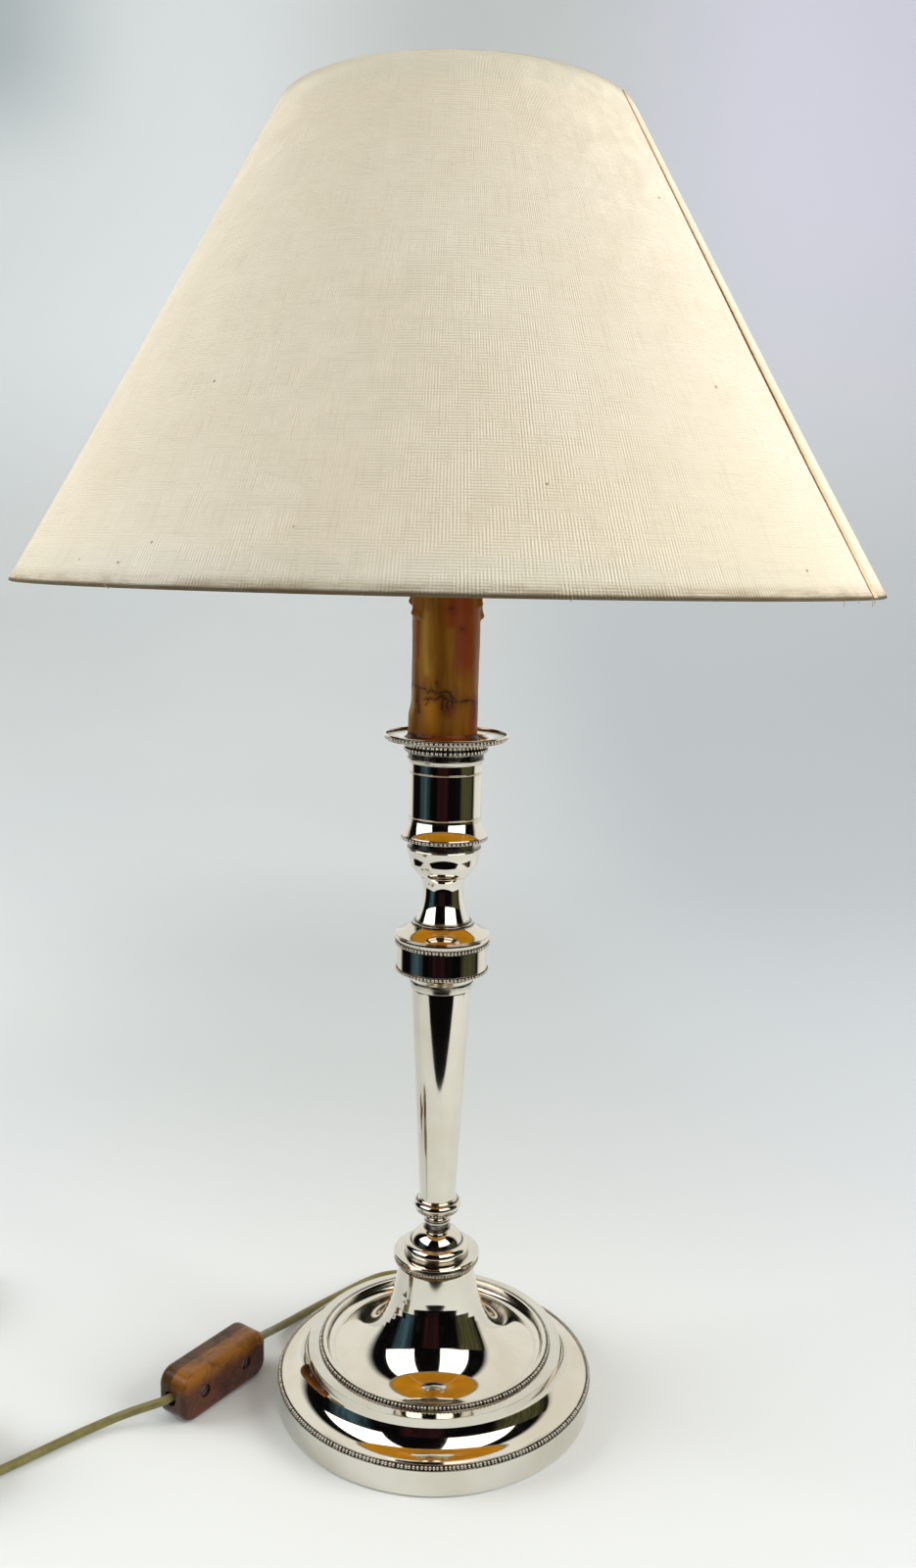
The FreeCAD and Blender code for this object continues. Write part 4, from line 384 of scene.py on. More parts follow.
def soften(points):
    """Rounds each sharp corner of a closed outline. Returns points and how hollow each is."""
    out, hollow = [], []
    count = len(points)
    for i, point in enumerate(points):
        back = points[i - 1] - point
        on = points[(i + 1) % count] - point
        turn = -(-back).angle_signed(on, 0.0)
        if abs(turn) < math.radians(SHARP):
            out.append(point)
            hollow.append(0.0)
            continue
        room = 0.42 * min(back.length, on.length)
        leg = min(EDGE_RADIUS * math.tan(abs(turn) / 2), room)
        first = point + back.normalized() * leg
        last = point + on.normalized() * leg
        deep = 1.0 if turn < 0 else 0.0
        for k in range(4):
            t = k / 3
            out.append(first * (1 - t) ** 2 + point * 2 * t * (1 - t) + last * t * t)
            hollow.append(deep)
    return out, hollow


def add_steps(points, hollow):
    """Adds points near the ends of long straights, so that the tarnish stays in the corners."""
    out, marks = [], []
    for i, point in enumerate(points):
        after = points[(i + 1) % len(points)]
        out.append(point)
        marks.append(hollow[i])
        way = after - point
        if way.length > GRIME_REACH * 3:
            near = (GRIME_REACH * 0.5, GRIME_REACH)
            for far in (*near, way.length - near[1], way.length - near[0]):
                out.append(point + way * (far / way.length))
                marks.append(0.0)
    return out, marks


def lathe(name, corners, material, segments, grime):
    """A closed outline in mm turned about Z, with exact normals and a tarnish value that
    is high (grime) in hollow corners and fades away from them."""
    points, hollow = add_steps(*soften(expand(corners)))
    count = len(points)
    dark_corners = [p for p, h in zip(points, hollow) if h]
    verts, normals, faces, tarnish = [], [], [], []
    for j, p in enumerate(points):
        before = p - points[j - 1]
        after = points[(j + 1) % count] - p
        n = (Vector((before.y, -before.x)) + Vector((after.y, -after.x))).normalized()
        least = min(((p - q).length for q in dark_corners), default=9.0)
        tarnish += [grime * max(0.0, 1.0 - least / GRIME_REACH) ** 1.3] * segments
        for i in range(segments):
            cos, sin = math.cos(TAU * i / segments), math.sin(TAU * i / segments)
            off = 1.0 + OUT_OF_ROUND * noise.noise(Vector((cos * 1.6, sin * 1.6, p.y * 0.02)))
            verts.append((p.x * cos * off * MM, p.x * sin * off * MM, p.y * MM))
            normals.append((n.x * cos, n.x * sin, n.y))
        faces += ring_faces(j * segments, (j + 1) % count * segments, segments)
    thing = new_object(name, verts, faces, material)
    thing.data.normals_split_custom_set_from_vertices(normals)
    float_attribute(thing, "tarnish", tarnish)
    return thing


def settle(thing, body, slot, *nodes):
    """Sets a piece on the body it rides on and hides the CAD nodes it stands for. slot, its
    finish, is not used.
    """
    if nodes:
        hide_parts(*nodes)
    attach(thing, body)
    return thing


def ball(rings, spokes):
    """Points and faces of a unit ball."""
    points = [Vector((0, 0, 1))]
    for j in range(1, rings):
        tilt = math.pi * j / rings
        for i in range(spokes):
            angle = TAU * i / spokes
            out = math.sin(tilt)
            points.append(Vector((out * math.cos(angle), out * math.sin(angle), math.cos(tilt))))
    points.append(Vector((0, 0, -1)))
    faces = [(0, 1 + i, 1 + (i + 1) % spokes) for i in range(spokes)]
    for j in range(rings - 2):
        a, b = 1 + j * spokes, 1 + (j + 1) * spokes
        for i in range(spokes):
            k = (i + 1) % spokes
            faces.append((a + i, b + i, b + k, a + k))
    last = len(points) - 1
    a = 1 + (rings - 2) * spokes
    faces += [(last, a + (i + 1) % spokes, a + i) for i in range(spokes)]
    return points, faces


# Beads: how far one strays along the row, in shares of its pitch, how its size varies, and the
# tarnish of the thin wires beside the row.
BEAD_SHIFT = 0.12
BEAD_SIZES = (0.94, 1.04)
RAIL_DIRT = 0.45


def beaded_wire(name, material, path, height, bead, count, facing, rails):
    """A row of beads on a dark core. path is the row's radius and bead a bead's, in mm; facing is
    the angle above the horizon at which the row looks outwards; rails are (outwards, upwards,
    radius) of thin edge wires."""
    rng = random.Random(name)
    unit, unit_faces = ball(6, 10)
    points, faces, tarnish = [], [], []
    look = outward(math.radians(facing))
    up = Vector((0, 0, 1))
    wide = min(TAU * path / count * 0.44, bead * 0.98)
    for b in range(count):
        out = outward(TAU * (b + BEAD_SHIFT * rng.uniform(-1, 1)) / count)
        side = Vector((-out.y, out.x, 0))
        centre = out * path + up * height
        size = bead * rng.uniform(*BEAD_SIZES)
        first = len(points)
        for p in unit:
            at = centre + side * (p.x * wide) + out * (p.y * size) + up * (p.z * size)
            points.append(at * MM)
            proud = p.y * look.x + p.z * look.y
            tarnish.append(min(1.0, max(0.0, (0.72 - proud) / 0.6)))
        faces += [tuple(first + v for v in face) for face in unit_faces]
    segments, spokes = min(240, max(96, int(path * 4))), 10
    core = (0.0, 0.0, bead * 0.5, 1.0)
    for out_by, up_by, thick, dirt in (core, *((*rail, RAIL_DIRT) for rail in rails)):
        first = len(points)
        for i in range(segments):
            out = outward(TAU * i / segments)
            for k in range(spokes):
                tilt = TAU * k / spokes
                r = path + out_by + thick * math.cos(tilt)
                z = height + up_by + thick * math.sin(tilt)
                points.append(Vector((out.x * r, out.y * r, z)) * MM)
                tarnish.append(dirt)
            a, b = first + i * spokes, first + (i + 1) % segments * spokes
            for k in range(spokes):
                m = (k + 1) % spokes
                faces.append((a + k, b + k, b + m, a + m))
    thing = new_object(name, points, faces, material)
    float_attribute(thing, "tarnish", tarnish)
    return thing


def tube(path, radius, spokes):
    """Points and faces of a thin round thread along points in metres."""
    points, faces = [], []
    last = len(path) - 1
    for i, at in enumerate(path):
        way = (path[min(i + 1, last)] - path[max(i - 1, 0)]).normalized()
        side = way.orthogonal().normalized()
        other = way.cross(side)
        for k in range(spokes):
            angle = TAU * k / spokes
            points.append(at + (side * math.cos(angle) + other * math.sin(angle)) * radius)
        if i < last:
            faces += ring_faces(i * spokes, (i + 1) * spokes, spokes)
    faces.append(tuple(reversed(range(spokes))))
    faces.append(tuple(range(last * spokes, (last + 1) * spokes)))
    return points, faces


# ---------------------------------------------------------------- cord

# The flex's thickness in mm and its two lengths in metres; its way is given by points in mm.
CORD_WIDTH = 3.8
LEAD_POINTS = [
    (-8.88, 72.36, 6.2),
    (-9.7, 79.2, 6.0),
    (-14.0, 86.0, 4.7),
    (-21.8, 89.8, 3.2),
    (-30.4, 88.3, 2.1),
    (-38.4, 81.9, 1.95),
    (-48.0, 71.8, 1.95),
    (-60.2, 59.4, 1.95),
    (-72.4, 45.6, 2.05),
    (-78.4, 36.0, 3.8),
    (-80.4, 26.6, 8.2),
    (-82.38, 18.0, 11.0),
    (-89.36, 8.11, 11.0),
]
RUN_POINTS = [
    (-108.84, -19.51, 11.0),
    (-114.14, -27.03, 11.0),
    (-122.2, -29.3, 9.4),
    (-132.6, -28.9, 5.2),
    (-142.8, -32.4, 2.4),
    (-151.6, -39.2, 1.95),
    (-162.0, -48.8, 1.95),
    (-175.4, -61.2, 1.95),
    (-185.93, -72.27, 3.55),
]
TAIL_POINTS = [
    (-250.4, -41.0, 17.1),
    (-251.0, -28.0, 13.6),
    (-250.4, -14.0, 8.4),
    (-250.87, -5.92, 6.85),
    (-250.03, 6.05, 6.85),
]
COIL = {
    "start": (-196.0, -82.0),
    "heading": 224.0,
    "radius": 30.0,
    "pitch": 5.0,
    "turns": 2.34,
    "layers": 4,
    "foot": 3.55,
    "per_turn": 14,
    "run_out": 12.0,
}


def coil_point(turns):
    """The coil's centre line, in mm: clockwise, in and out by layers that climb."""
    span = COIL["turns"]
    layer = min(int(turns / span), COIL["layers"] - 1)
    part = turns - layer * span
    depth = part if layer % 2 == 0 else span - part
    radius = COIL["radius"] - COIL["pitch"] * depth
    nearest = round(turns / span)
    climb = max(nearest - 1, 0)
    if 0 < nearest < COIL["layers"]:
        share = min(max((turns - nearest * span) / 0.5 + 0.5, 0.0), 1.0)
        climb = nearest - 1 + share * share * (3 - 2 * share)
    elif nearest == COIL["layers"]:
        climb = COIL["layers"] - 1
    angle = math.radians(COIL["heading"] + 90 - 360 * turns)
    first = math.radians(COIL["heading"] + 90)
    x = COIL["start"][0] - math.cos(first) * COIL["radius"] + radius * math.cos(angle)
    y = COIL["start"][1] - math.sin(first) * COIL["radius"] + radius * math.sin(angle)
    return (x, y, COIL["foot"] + COIL["pitch"] * climb)


def cord_curve(name, points, material):
    data = bpy.data.curves.new(name, "CURVE")
    data.dimensions = "3D"
    spline = data.splines.new("NURBS")
    spline.points.add(len(points) - 1)
    for knot, point in zip(spline.points, points):
        knot.co = (*(value * MM for value in point), 1.0)
    spline.order_u = 3
    spline.use_endpoint_u = True
    data.resolution_u = 8
    data.bevel_depth = CORD_WIDTH / 2 * MM
    data.bevel_resolution = 6
    data.use_fill_caps = True
    data.materials.append(material)
    thing = bpy.data.objects.new(name, data)
    scene.collection.objects.link(thing)
    return thing


def make_cords():
    sheath = flex_sheath()
    lead = cord_curve("flex_lead", LEAD_POINTS, sheath)
    settle(lead, "stand", "cord", "cord_lead")
    turns = COIL["turns"] * COIL["layers"]
    steps = int(turns * COIL["per_turn"])
    coil = [coil_point(turns * k / steps) for k in range(steps + 1)]
    last, before = Vector(coil[-1]), Vector(coil[-2])
    out = last + (last - before).normalized() * COIL["run_out"]
    supply = cord_curve("flex_supply", [*RUN_POINTS, *coil, tuple(out), *TAIL_POINTS], sheath)
    settle(supply, "stand", "cord", "cord_run", "cord_coil", "cord_tail")
    paint("inner_cable", sheath)


def paint(nodes, material):
    """Gives CAD nodes a material."""
    for node in nodes.split():
        for slot in NODES[node].material_slots:
            slot.link = "OBJECT"
            slot.material = material


# ---------------------------------------------------------------- silver

# Outlines of the turned pieces, in mm: (radius, height), and the degrees of arc to the next point
# where the way there isn't straight.
BASE = [
    (70.3, 0.5),
    (70.0, 11.4),
    (68.4, 11.4),
    (68.4, 12.8),
    (66.6, 12.9, -68),
    (56.8, 21.4),
    (56.5, 24.9),
    (50.25, 24.9),
    (50.25, 26.4),
    (48.6, 26.6),
    (47.9, 24.2, -66),
    (44.4, 22.4, -34),
    (29.77, 28.6, -20),
    (24.15, 35.3, -20.8),
    (18.2, 52.0),
    (16.5, 62.5),
    (4.2, 62.5),
    (4.2, 61.3),
    (15.3, 61.3),
    (17.0, 51.8, 20.8),
    (23.1, 34.7, 20),
    (29.0, 27.7, 34),
    (44.3, 21.2),
    (48.0, 21.6),
    (49.2, 23.7),
    (55.3, 23.7),
    (55.64, 21.09, 68),
    (66.46, 11.71),
    (68.8, 10.2),
    (69.1, 0.5),
]
COLLAR = [
    (4.2, 62.5),
    (17.1, 62.5),
    (17.8, 64.4),
    (17.5, 64.4),
    (17.5, 65.8),
    (18.3, 65.8),
    (19.05, 68.0),
    (18.65, 68.6),
    (4.2, 68.6),
]
VASE = [
    (4.2, 68.6),
    (14.1, 68.6),
    (14.1, 69.4),
    (14.3, 70.0, 100),
    (11.5, 73.4),
    (11.3, 73.4, 62),
    (5.35, 79.2),
    (5.15, 79.8),
    (5.15, 81.8),
    (5.8, 82.4),
    (5.8, 83.5, -48),
    (8.8, 87.6),
    (8.3, 87.6),
    (8.3, 88.8),
    (9.3, 88.8, 45),
    (10.4, 90.5, 70),
    (9.0, 92.8),
    (8.3, 93.8),
    (4.2, 93.8),
]
COLUMN = [(4.2, 93.8), (7.85, 93.8), (12.9, 190.4), (4.2, 190.4)]
DRUM = [
    (4.2, 190.4),
    (13.4, 190.4),
    (13.7, 193.2),
    (13.3, 193.6, -50),
    (18.45, 198.0),
    (18.45, 199.6),
    (19.3, 199.6),
    (19.3, 209.7),
    (18.8, 209.7),
    (18.8, 211.3),
    (19.6, 211.3),
    (20.3, 213.0),
    (20.3, 214.0),
    (4.2, 214.0),
]
WAIST = [
    (4.2, 214.0),
    (19.9, 214.0),
    (19.9, 214.5, -36),
    (13.1, 218.9),
    (13.1, 219.6),
    (11.8, 219.6, -34),
    (8.3, 232.9, -36),
    (10.7, 239.6),
    (4.2, 239.6),
]
BOWL = [
    (4.2, 239.6),
    (10.7, 239.6, 30),
    (14.35, 245.2),
    (14.6, 247.2, -12),
    (15.7, 250.9),
    (15.9, 251.3),
    (15.7, 251.8),
    (15.3, 252.1),
    (15.3, 255.0),
    (4.2, 255.0),
]
SOCKET = [
    (4.2, 255.0),
    (16.8, 255.0),
    (16.8, 256.5),
    (18.2, 256.9),
    (18.1, 257.4, -28),
    (15.1, 263.6),
    (15.1, 264.75),
    (15.4, 265.0),
    (15.1, 265.25),
    (15.1, 283.6),
    (15.4, 283.85),
    (15.1, 284.1),
    (15.15, 287.7, -16),
    (15.5, 288.2),
    (13.9, 288.2),
    (13.9, 264.0),
    (4.2, 264.0),
]
PAN = [
    (12.4, 280.2),
    (13.6, 280.2),
    (13.6, 288.2),
    (15.5, 288.2),
    (16.1, 289.4),
    (16.1, 289.7),
    (15.7, 289.9),
    (15.9, 291.9),
    (16.2, 292.1),
    (16.2, 293.9),
    (17.6, 294.6, -20),
    (24.0, 297.3),
    (24.2, 297.6),
    (24.2, 298.95),
    (25.95, 299.1),
    (25.95, 299.8),
    (25.85, 299.9),
    (25.15, 299.9),
    (25.0, 299.0),
    (17.6, 298.35),
    (17.0, 297.2),
    (4.2, 297.2),
    (4.2, 295.9),
    (12.4, 295.9),
]


# Turned pieces: name, outline, CAD node, segments, tarnish in hollow corners.
TURNED = [
    ("foot_silver", BASE, "base_shell", 256, 1.0),
    ("collar_silver", COLLAR, "collar", 128, 1.0),
    ("vase_silver", VASE, "lower_vase", 128, 1.0),
    ("column_silver", COLUMN, "column", 128, 1.0),
    ("drum_silver", DRUM, "drum", 128, 1.0),
    ("waist_silver", WAIST, "waist", 128, 1.0),
    ("bowl_silver", BOWL, "bowl", 128, 1.0),
    ("socket_silver", SOCKET, "candle_socket", 128, 0.2),
    ("pan_silver", PAN, "drip_pan", 160, 1.0),
]
FOOT_RAILS = [(0.84, -0.8, 0.22), (-0.86, 0.78, 0.22)]
# Bead rows: name, CAD node, and the shape as beaded_wire has it.
BEADED = [
    ("foot_outer_beads", "outer_bead_ring", 69.2, 12.3, 0.86, 270, 45, FOOT_RAILS),
    ("foot_inner_beads", "inner_bead_ring", 50.95, 25.75, 0.8, 204, 45, FOOT_RAILS),
    ("collar_beads", "collar_bead_ring", 18.2, 65.1, 0.66, 85, 10, [(0.3, 0.8, 0.18)]),
    ("knop_beads", "knop_bead_ring", 8.9, 88.2, 0.58, 42, 10, []),
    ("drum_low_beads", "drum_lower_beads", 19.25, 198.8, 0.78, 75, 0, []),
    ("drum_high_beads", "drum_upper_beads", 19.6, 210.5, 0.78, 79, 0, []),
    ("socket_bead_row", "socket_beads", 17.6, 256.0, 0.84, 61, 0, [(0.1, 1.1, 0.3)]),
    ("pan_low_bead_row", "pan_lower_beads", 16.95, 293.3, 0.78, 56, -5, [(-0.3, -0.95, 0.2)]),
    ("pan_rim_bead_row", "pan_rim_beads", 24.95, 298.3, 0.82, 84, -5, [(-0.3, -1.0, 0.2)]),
]


def make_silver():
    metal = silver_plate("silver_polished", 0.05)
    for name, corners, node, segments, grime in TURNED:
        settle(lathe(name, corners, metal, segments, grime), "stand", "silver", node)
    metal = silver_plate("silver_beads", 0.12)
    for name, node, *shape in BEADED:
        settle(beaded_wire(name, metal, *shape), "stand", "silver", node)


# ---------------------------------------------------------------- candle

CANDLE = {"axis": -0.9, "foot": 297.2, "top": 375.0, "radius": 14.1, "bore": 12.7}
# Drips: (degrees round from the viewer, lower end in mm, half width in degrees, height in mm).
DRIPS = [
    (-84, 352.0, 7, 1.5),
    (-64, 347.5, 8, 1.7),
    (-47, 346.5, 7, 1.2),
    (-20, 358.0, 6, 1.2),
    (15, 362.0, 7, 1.3),
    (48, 357.0, 7, 1.3),
    (72, 351.5, 7, 1.6),
    (92, 346.5, 8, 1.5),
    (130, 355.0, 8, 1.4),
    (165, 349.0, 8, 1.5),
    (205, 356.0, 7, 1.3),
    (240, 350.0, 8, 1.5),
]


def candle_radius(angle, height):
    """The wax's radius in mm, and how far it is a drip. angle is degrees from the viewer. A pool
    lies round its foot, and a swelling on the left."""
    up = height - CANDLE["foot"]
    around = outward(math.radians(angle))
    lumps = noise.noise(around * 1.3 + Vector((0, 0, height * 0.055)))
    fine = noise.noise(around * 5.0 + Vector((3, 7, height * 0.25)))
    radius = CANDLE["radius"] - 0.25 + 0.26 * lumps + 0.09 * fine
    pool = 1.5 + 0.35 * noise.noise(around * 2.0)
    radius += pool * math.exp(-((up / 1.5) ** 2))
    left = ((angle + 95 + 180) % 360 - 180) / 48
    radius += 1.25 * math.exp(-left * left) / (1 + math.exp((up - 13.0) / 1.2))
    drip = 0.0
    for at, end, wide, high in DRIPS:
        aside = ((angle - at + 180) % 360 - 180) / wide
        if abs(aside) > 3:
            continue
        above = height - end
        tip = math.exp(-(((above - 1.6) / 1.7) ** 2))
        run = 1 / (1 + math.exp(-(above - 0.5) / 0.35))
        drip += high * math.exp(-aside * aside) * run * (0.62 + 0.5 * tip)
    return radius + drip, min(1.0, drip)


# Marks on the wax: lines of (degrees round from the viewer, height in mm), half width in mm.
MARKS = {
    "burnt": [
        ([(-88, 320.5), (-62, 320.2), (-48, 319.3), (-36, 319.2)], 0.45),
        ([(-36, 319.2), (-29, 317.6), (-24, 318.8)], 0.45),
        ([(-24, 318.8), (-14, 317.8), (-6, 317.9), (0, 318.6), (8, 318.0), (13, 316.2)], 0.5),
        ([(13, 316.2), (17, 314.4), (30, 314.2), (48, 314.8), (66, 313.6), (90, 312.5)], 0.6),
        ([(90, 312.5), (130, 315.0), (180, 318.0), (230, 320.0), (272, 320.5)], 0.5),
        ([(-52, 318.5), (-53, 315.0), (-50, 311.5), (-47, 309.6)], 1.0),
        ([(-58, 313.8), (-50, 312.5)], 0.7),
        ([(-36, 314.8), (-26, 315.4), (-14, 315.2), (-5, 317.2)], 0.45),
        ([(-31, 316.2), (-29, 314.0), (-33, 312.8)], 0.4),
        ([(-4, 316.8), (2, 315.6), (8, 316.6), (12, 314.6)], 0.9),
        ([(-3, 315.0), (-4, 311.6), (0, 309.8), (5, 311.0), (3, 313.2), (6, 315.2)], 0.55),
        ([(12, 316.5), (13, 312.5)], 0.6),
        ([(56, 314.0), (62, 310.5), (60, 307.5)], 0.8),
        ([(-14, 322.0), (-12, 320.5)], 0.4),
        ([(6, 351.6), (10, 351.4)], 0.7),
        ([(26, 343.6), (31, 343.2)], 0.45),
    ],
    "red": [
        ([(32, 360.0), (34, 345.0), (38, 330.0)], 3.4),
        ([(12, 358.0), (10, 346.0)], 2.2),
        ([(8, 312.5), (9, 308.5)], 1.0),
        ([(62, 313.0), (60, 303.0)], 2.0),
        ([(-54, 346.0), (-53, 332.0)], 0.7),
        ([(160, 350.0), (170, 325.0)], 4.0),
    ],
    # A painted highlight: a pale stripe down the front left and a pale streak at the left edge,
    # where the wax would mirror the bright panel.
    "painted_highlight": [
        ([(-37, 349.0), (-37, 334.0), (-33, 326.0)], 1.2),
        ([(-74, 318.0), (-72, 309.0)], 1.2),
    ],
    "gold": [
        ([(-26, 312.0), (-18, 303.0)], 2.6),
        ([(150, 310.0), (210, 306.0)], 3.0),
    ],
}


def marked(lines, angle, height, halo):
    """How strongly a place on the wax is marked: 1 on a line, fading past its width, with a
    wider halo of that strength round it."""
    most = 0.0
    for line, wide in lines:
        around = (angle - line[0][0] + 180) % 360 - 180 + line[0][0]
        here = Vector((math.radians(around) * CANDLE["radius"], height))
        for one, two in zip(line, line[1:]):
            start = Vector((math.radians(one[0]) * CANDLE["radius"], one[1]))
            end = Vector((math.radians(two[0]) * CANDLE["radius"], two[1]))
            along = (here - start).dot(end - start) / (end - start).length_squared
            nearest = start + (end - start) * min(1.0, max(0.0, along))
            off = (here - nearest).length / wide
            most = max(most, math.exp(-((off / 1.4) ** 2)))
            most = max(most, halo * math.exp(-((off / 3.4) ** 2)))
    return most


def make_candle():
    segments, rows = 240, 190
    points, faces, drips = [], [], []
    marks = {name: [] for name in MARKS}
    foot, top = CANDLE["foot"], CANDLE["top"]
    rings = [(foot + (top - foot) * j / rows, None) for j in range(rows + 1)]
    rings += [(top, CANDLE["bore"]), (foot, CANDLE["bore"])]
    for height, bore in rings:
        for i in range(segments):
            angle = 360 * i / segments
            radius, drip = (bore, 0.0) if bore else candle_radius(angle, height)
            x, y, z = seen_at(angle, radius, height)
            points.append(((x + CANDLE["axis"]) * MM, y * MM, z * MM))
            drips.append(drip)
            for name, lines in MARKS.items():
                halo = 0.45 if name == "burnt" else 0.0
                marks[name].append(marked(lines, angle, height, halo))
    for j in range(len(rings)):
        faces += ring_faces(j * segments, (j + 1) % len(rings) * segments, segments)
    thing = new_object("candle", points, faces, candle_wax())
    thing.data.set_sharp_from_angle(angle=math.radians(50))
    float_attribute(thing, "drip", drips)
    for name, values in marks.items():
        float_attribute(thing, name, values)
    settle(thing, "stand", "wax", "candle_sleeve")


# ---------------------------------------------------------------- shade

SHADE = {"bottom": 360.2, "top": 537.8, "wide": 170.0, "narrow": 68.4, "thick": 0.8}


def shade_point(angle, share, outset=0.0):
    """A point on the cone in metres: angle in degrees from the viewer, share up its slope."""
    drop = SHADE["top"] - SHADE["bottom"]
    inset = SHADE["wide"] - SHADE["narrow"]
    slope = math.hypot(drop, inset)
    radius = SHADE["wide"] - inset * share + outset * drop / slope
    height = SHADE["bottom"] + drop * share + outset * inset / slope
    return Vector(seen_at(angle, radius, height)) * MM


def thicken(thing, depth):
    """Gives a sheet its thickness in mm, inwards."""
    solid = thing.modifiers.new("thickness", "SOLIDIFY")
    solid.thickness = depth * MM
    solid.offset = -1.0
    return solid


def make_shade():
    cloth = linen()
    segments, rows = 360, 44
    points, faces = [], []
    for j in range(rows + 1):
        share = j / rows
        free = math.sin(math.pi * share)
        for i in range(segments):
            angle = 360 * i / segments
            around = outward(math.radians(angle))
            waver = noise.noise(around * 2.2 + Vector((0, 0, share * 1.4))) * 0.5 * free
            waver += noise.noise(around * 9.0 + Vector((5, 0, share * 2.0))) * 0.10 * free
            points.append(shade_point(angle, share, waver - 0.35 * free))
    for j in range(rows):
        faces += ring_faces(j * segments, (j + 1) * segments, segments)
    cover = new_object("shade_linen", points, faces, [cloth, gold_lining()])
    slope = math.hypot(SHADE["top"] - SHADE["bottom"], SHADE["wide"] - SHADE["narrow"])
    uv = cover.data.uv_layers.new(name="cloth")
    for face in cover.data.polygons:
        for loop in face.loop_indices:
            vertex = cover.data.loops[loop].vertex_index
            j, i = divmod(vertex, segments)
            if i == 0 and face.vertices[0] % segments == segments - 1:
                i = segments
            uv.data[loop].uv = (i / segments, j / rows * slope * MM)
    thicken(cover, SHADE["thick"]).material_offset = 1
    settle(cover, "shade", "linen", "shade_cover")
    seam = make_seam()
    threads = make_threads()


def make_seam():
    """The lapped edge of the linen: a narrow strip that stands a little proud."""
    first, last, steps, rows = 58.6, 61.0, 6, 60
    width = steps + 1
    points, faces = [], []
    for j in range(rows + 1):
        share = 0.002 + 0.996 * j / rows
        for i in range(width):
            t = i / steps
            angle = first + (last - first) * t
            angle += 0.25 * noise.noise(Vector((share * 6, 0, 0)))
            points.append(shade_point(angle, share, 0.02 + 0.34 * (1 - t) ** 0.5))
            if i < steps and j < rows:
                a = j * width + i
                faces.append((a, a + 1, a + 1 + width, a + width))
    cloth = plain("linen_seam", (214, 190, 152), (200, 168, 130), 300.0, 0.0001, Roughness=0.9)
    seam = new_object("shade_seam", points, faces, cloth)
    thicken(seam, 0.3)
    return settle(seam, "shade", "linen")


# Frayed threads at the lower hem: degrees round from the viewer, length in mm.
THREADS = [(49, 6), (52.5, 4), (57.8, 7), (59.2, 5), (-38, 3), (12, 3.5)]


def make_threads():
    rng = random.Random(11)
    points, faces, steps = [], [], 8
    for angle, long in THREADS:
        start = shade_point(angle, 0.002, 0.1)
        side = outward(math.radians(angle))
        path = [start]
        lean = rng.uniform(-0.7, 0.7)
        for k in range(1, steps + 1):
            t = k / steps
            curl = math.sin(t * 3 + rng.uniform(0, 1)) * 0.5
            path.append(
                start
                + side * (lean * long * t + curl * t) * MM
                + Vector((0, 0, -long * 0.45 * t * MM))
                + shade_point(angle, 0.0).normalized() * (0.3 * t * MM)
            )
        thread, thread_faces = tube(path, 0.12 * MM, 5)
        first = len(points)
        points += thread
        faces += [tuple(first + v for v in face) for face in thread_faces]
    fluff = plain("linen_thread", (196, 170, 126), (150, 120, 84), 900.0, Roughness=0.9)
    return settle(new_object("loose_threads", points, faces, fluff), "shade", "linen")


# ---------------------------------------------------------------- the other CAD nodes


# Finishes: name, lighter and darker sRGB colour, grain per metre, its depth in metres, inputs of
# the main shader, and the CAD nodes that have it.
FINISHES = [
    # The hem strips are darkened well below the linen: painted shade for the dark line at the
    # shade's lower edge.
    ("hem_in_painted_shade", (156, 140, 104), (122, 106, 74), 500.0, 0.0001, {"Roughness": 0.9},
     "bottom_hem top_hem"),
    ("white_wire", (222, 218, 208), (206, 200, 186), 200.0, 0.0, {"Roughness": 0.4},
     "bottom_wire_ring top_wire_ring shade_fitter"),
    ("plug_brown", (112, 62, 26), (88, 44, 18), 140.0, 0.0,
     {"Roughness": 0.3, "Coat_Weight": 0.3}, "plug_body plug_sleeve"),
    ("dark_moulding", (46, 30, 22), (34, 22, 16), 160.0, 0.0, {"Roughness": 0.3},
     "holder_cap holder_skirt holder_insert shade_ring_nut"),
    ("black_rubber", (28, 27, 26), (40, 38, 36), 300.0, 0.0, {"Roughness": 0.6},
     "cable_bush bulb_insulator cord_tie"),
    ("plain_steel", (150, 148, 144), (120, 116, 108), 400.0, 0.00002,
     {"Metallic": 1.0, "Roughness": 0.35},
     "bottom_plate clamp_washer switch_screws bulb_cap rocker_pin"),
    ("plain_brass", (196, 156, 84), (168, 128, 62), 400.0, 0.00001,
     {"Metallic": 1.0, "Roughness": 0.28},
     "central_tube clamp_nut thread_shell centre_contact terminal_screws bulb_contact "
     "switch_contacts plug_pins"),
    ("rough_iron", (48, 46, 44), (66, 60, 54), 500.0, 0.0004,
     {"Metallic": 0.6, "Roughness": 0.7}, "base_weight"),
    ("green_felt", (34, 62, 44), (24, 46, 32), 900.0, 0.0004, {"Roughness": 1.0}, "felt_pad"),
    ("tungsten", (96, 94, 92), (80, 78, 76), 900.0, 0.0, {"Metallic": 1.0, "Roughness": 0.4},
     "filament"),
]


def paint_the_rest():
    for name, first, second, scale, bump, inputs, nodes in FINISHES:
        paint(nodes, plain(name, first, second, scale, bump, **inputs))
    amber = bakelite("switch_amber", linear(82, 37, 5), linear(54, 20, 3), 0.6, 0.2)
    deep = bakelite("switch_deep", linear(58, 38, 12), linear(32, 16, 5), 0.15, 0.25)
    paint("switch_front", amber)
    paint("switch_back switch_rocker", deep)
    glass = Shader("bulb_glass", Roughness=0.02, Transmission_Weight=1.0, IOR=1.45)
    haze = glass.noise(60.0, 2.0)
    glass.set(Base_Color=glass.mix(haze, linear(250, 250, 248), linear(244, 244, 240)))
    paint("bulb_glass bulb_mount", glass.material)


# ---------------------------------------------------------------- set


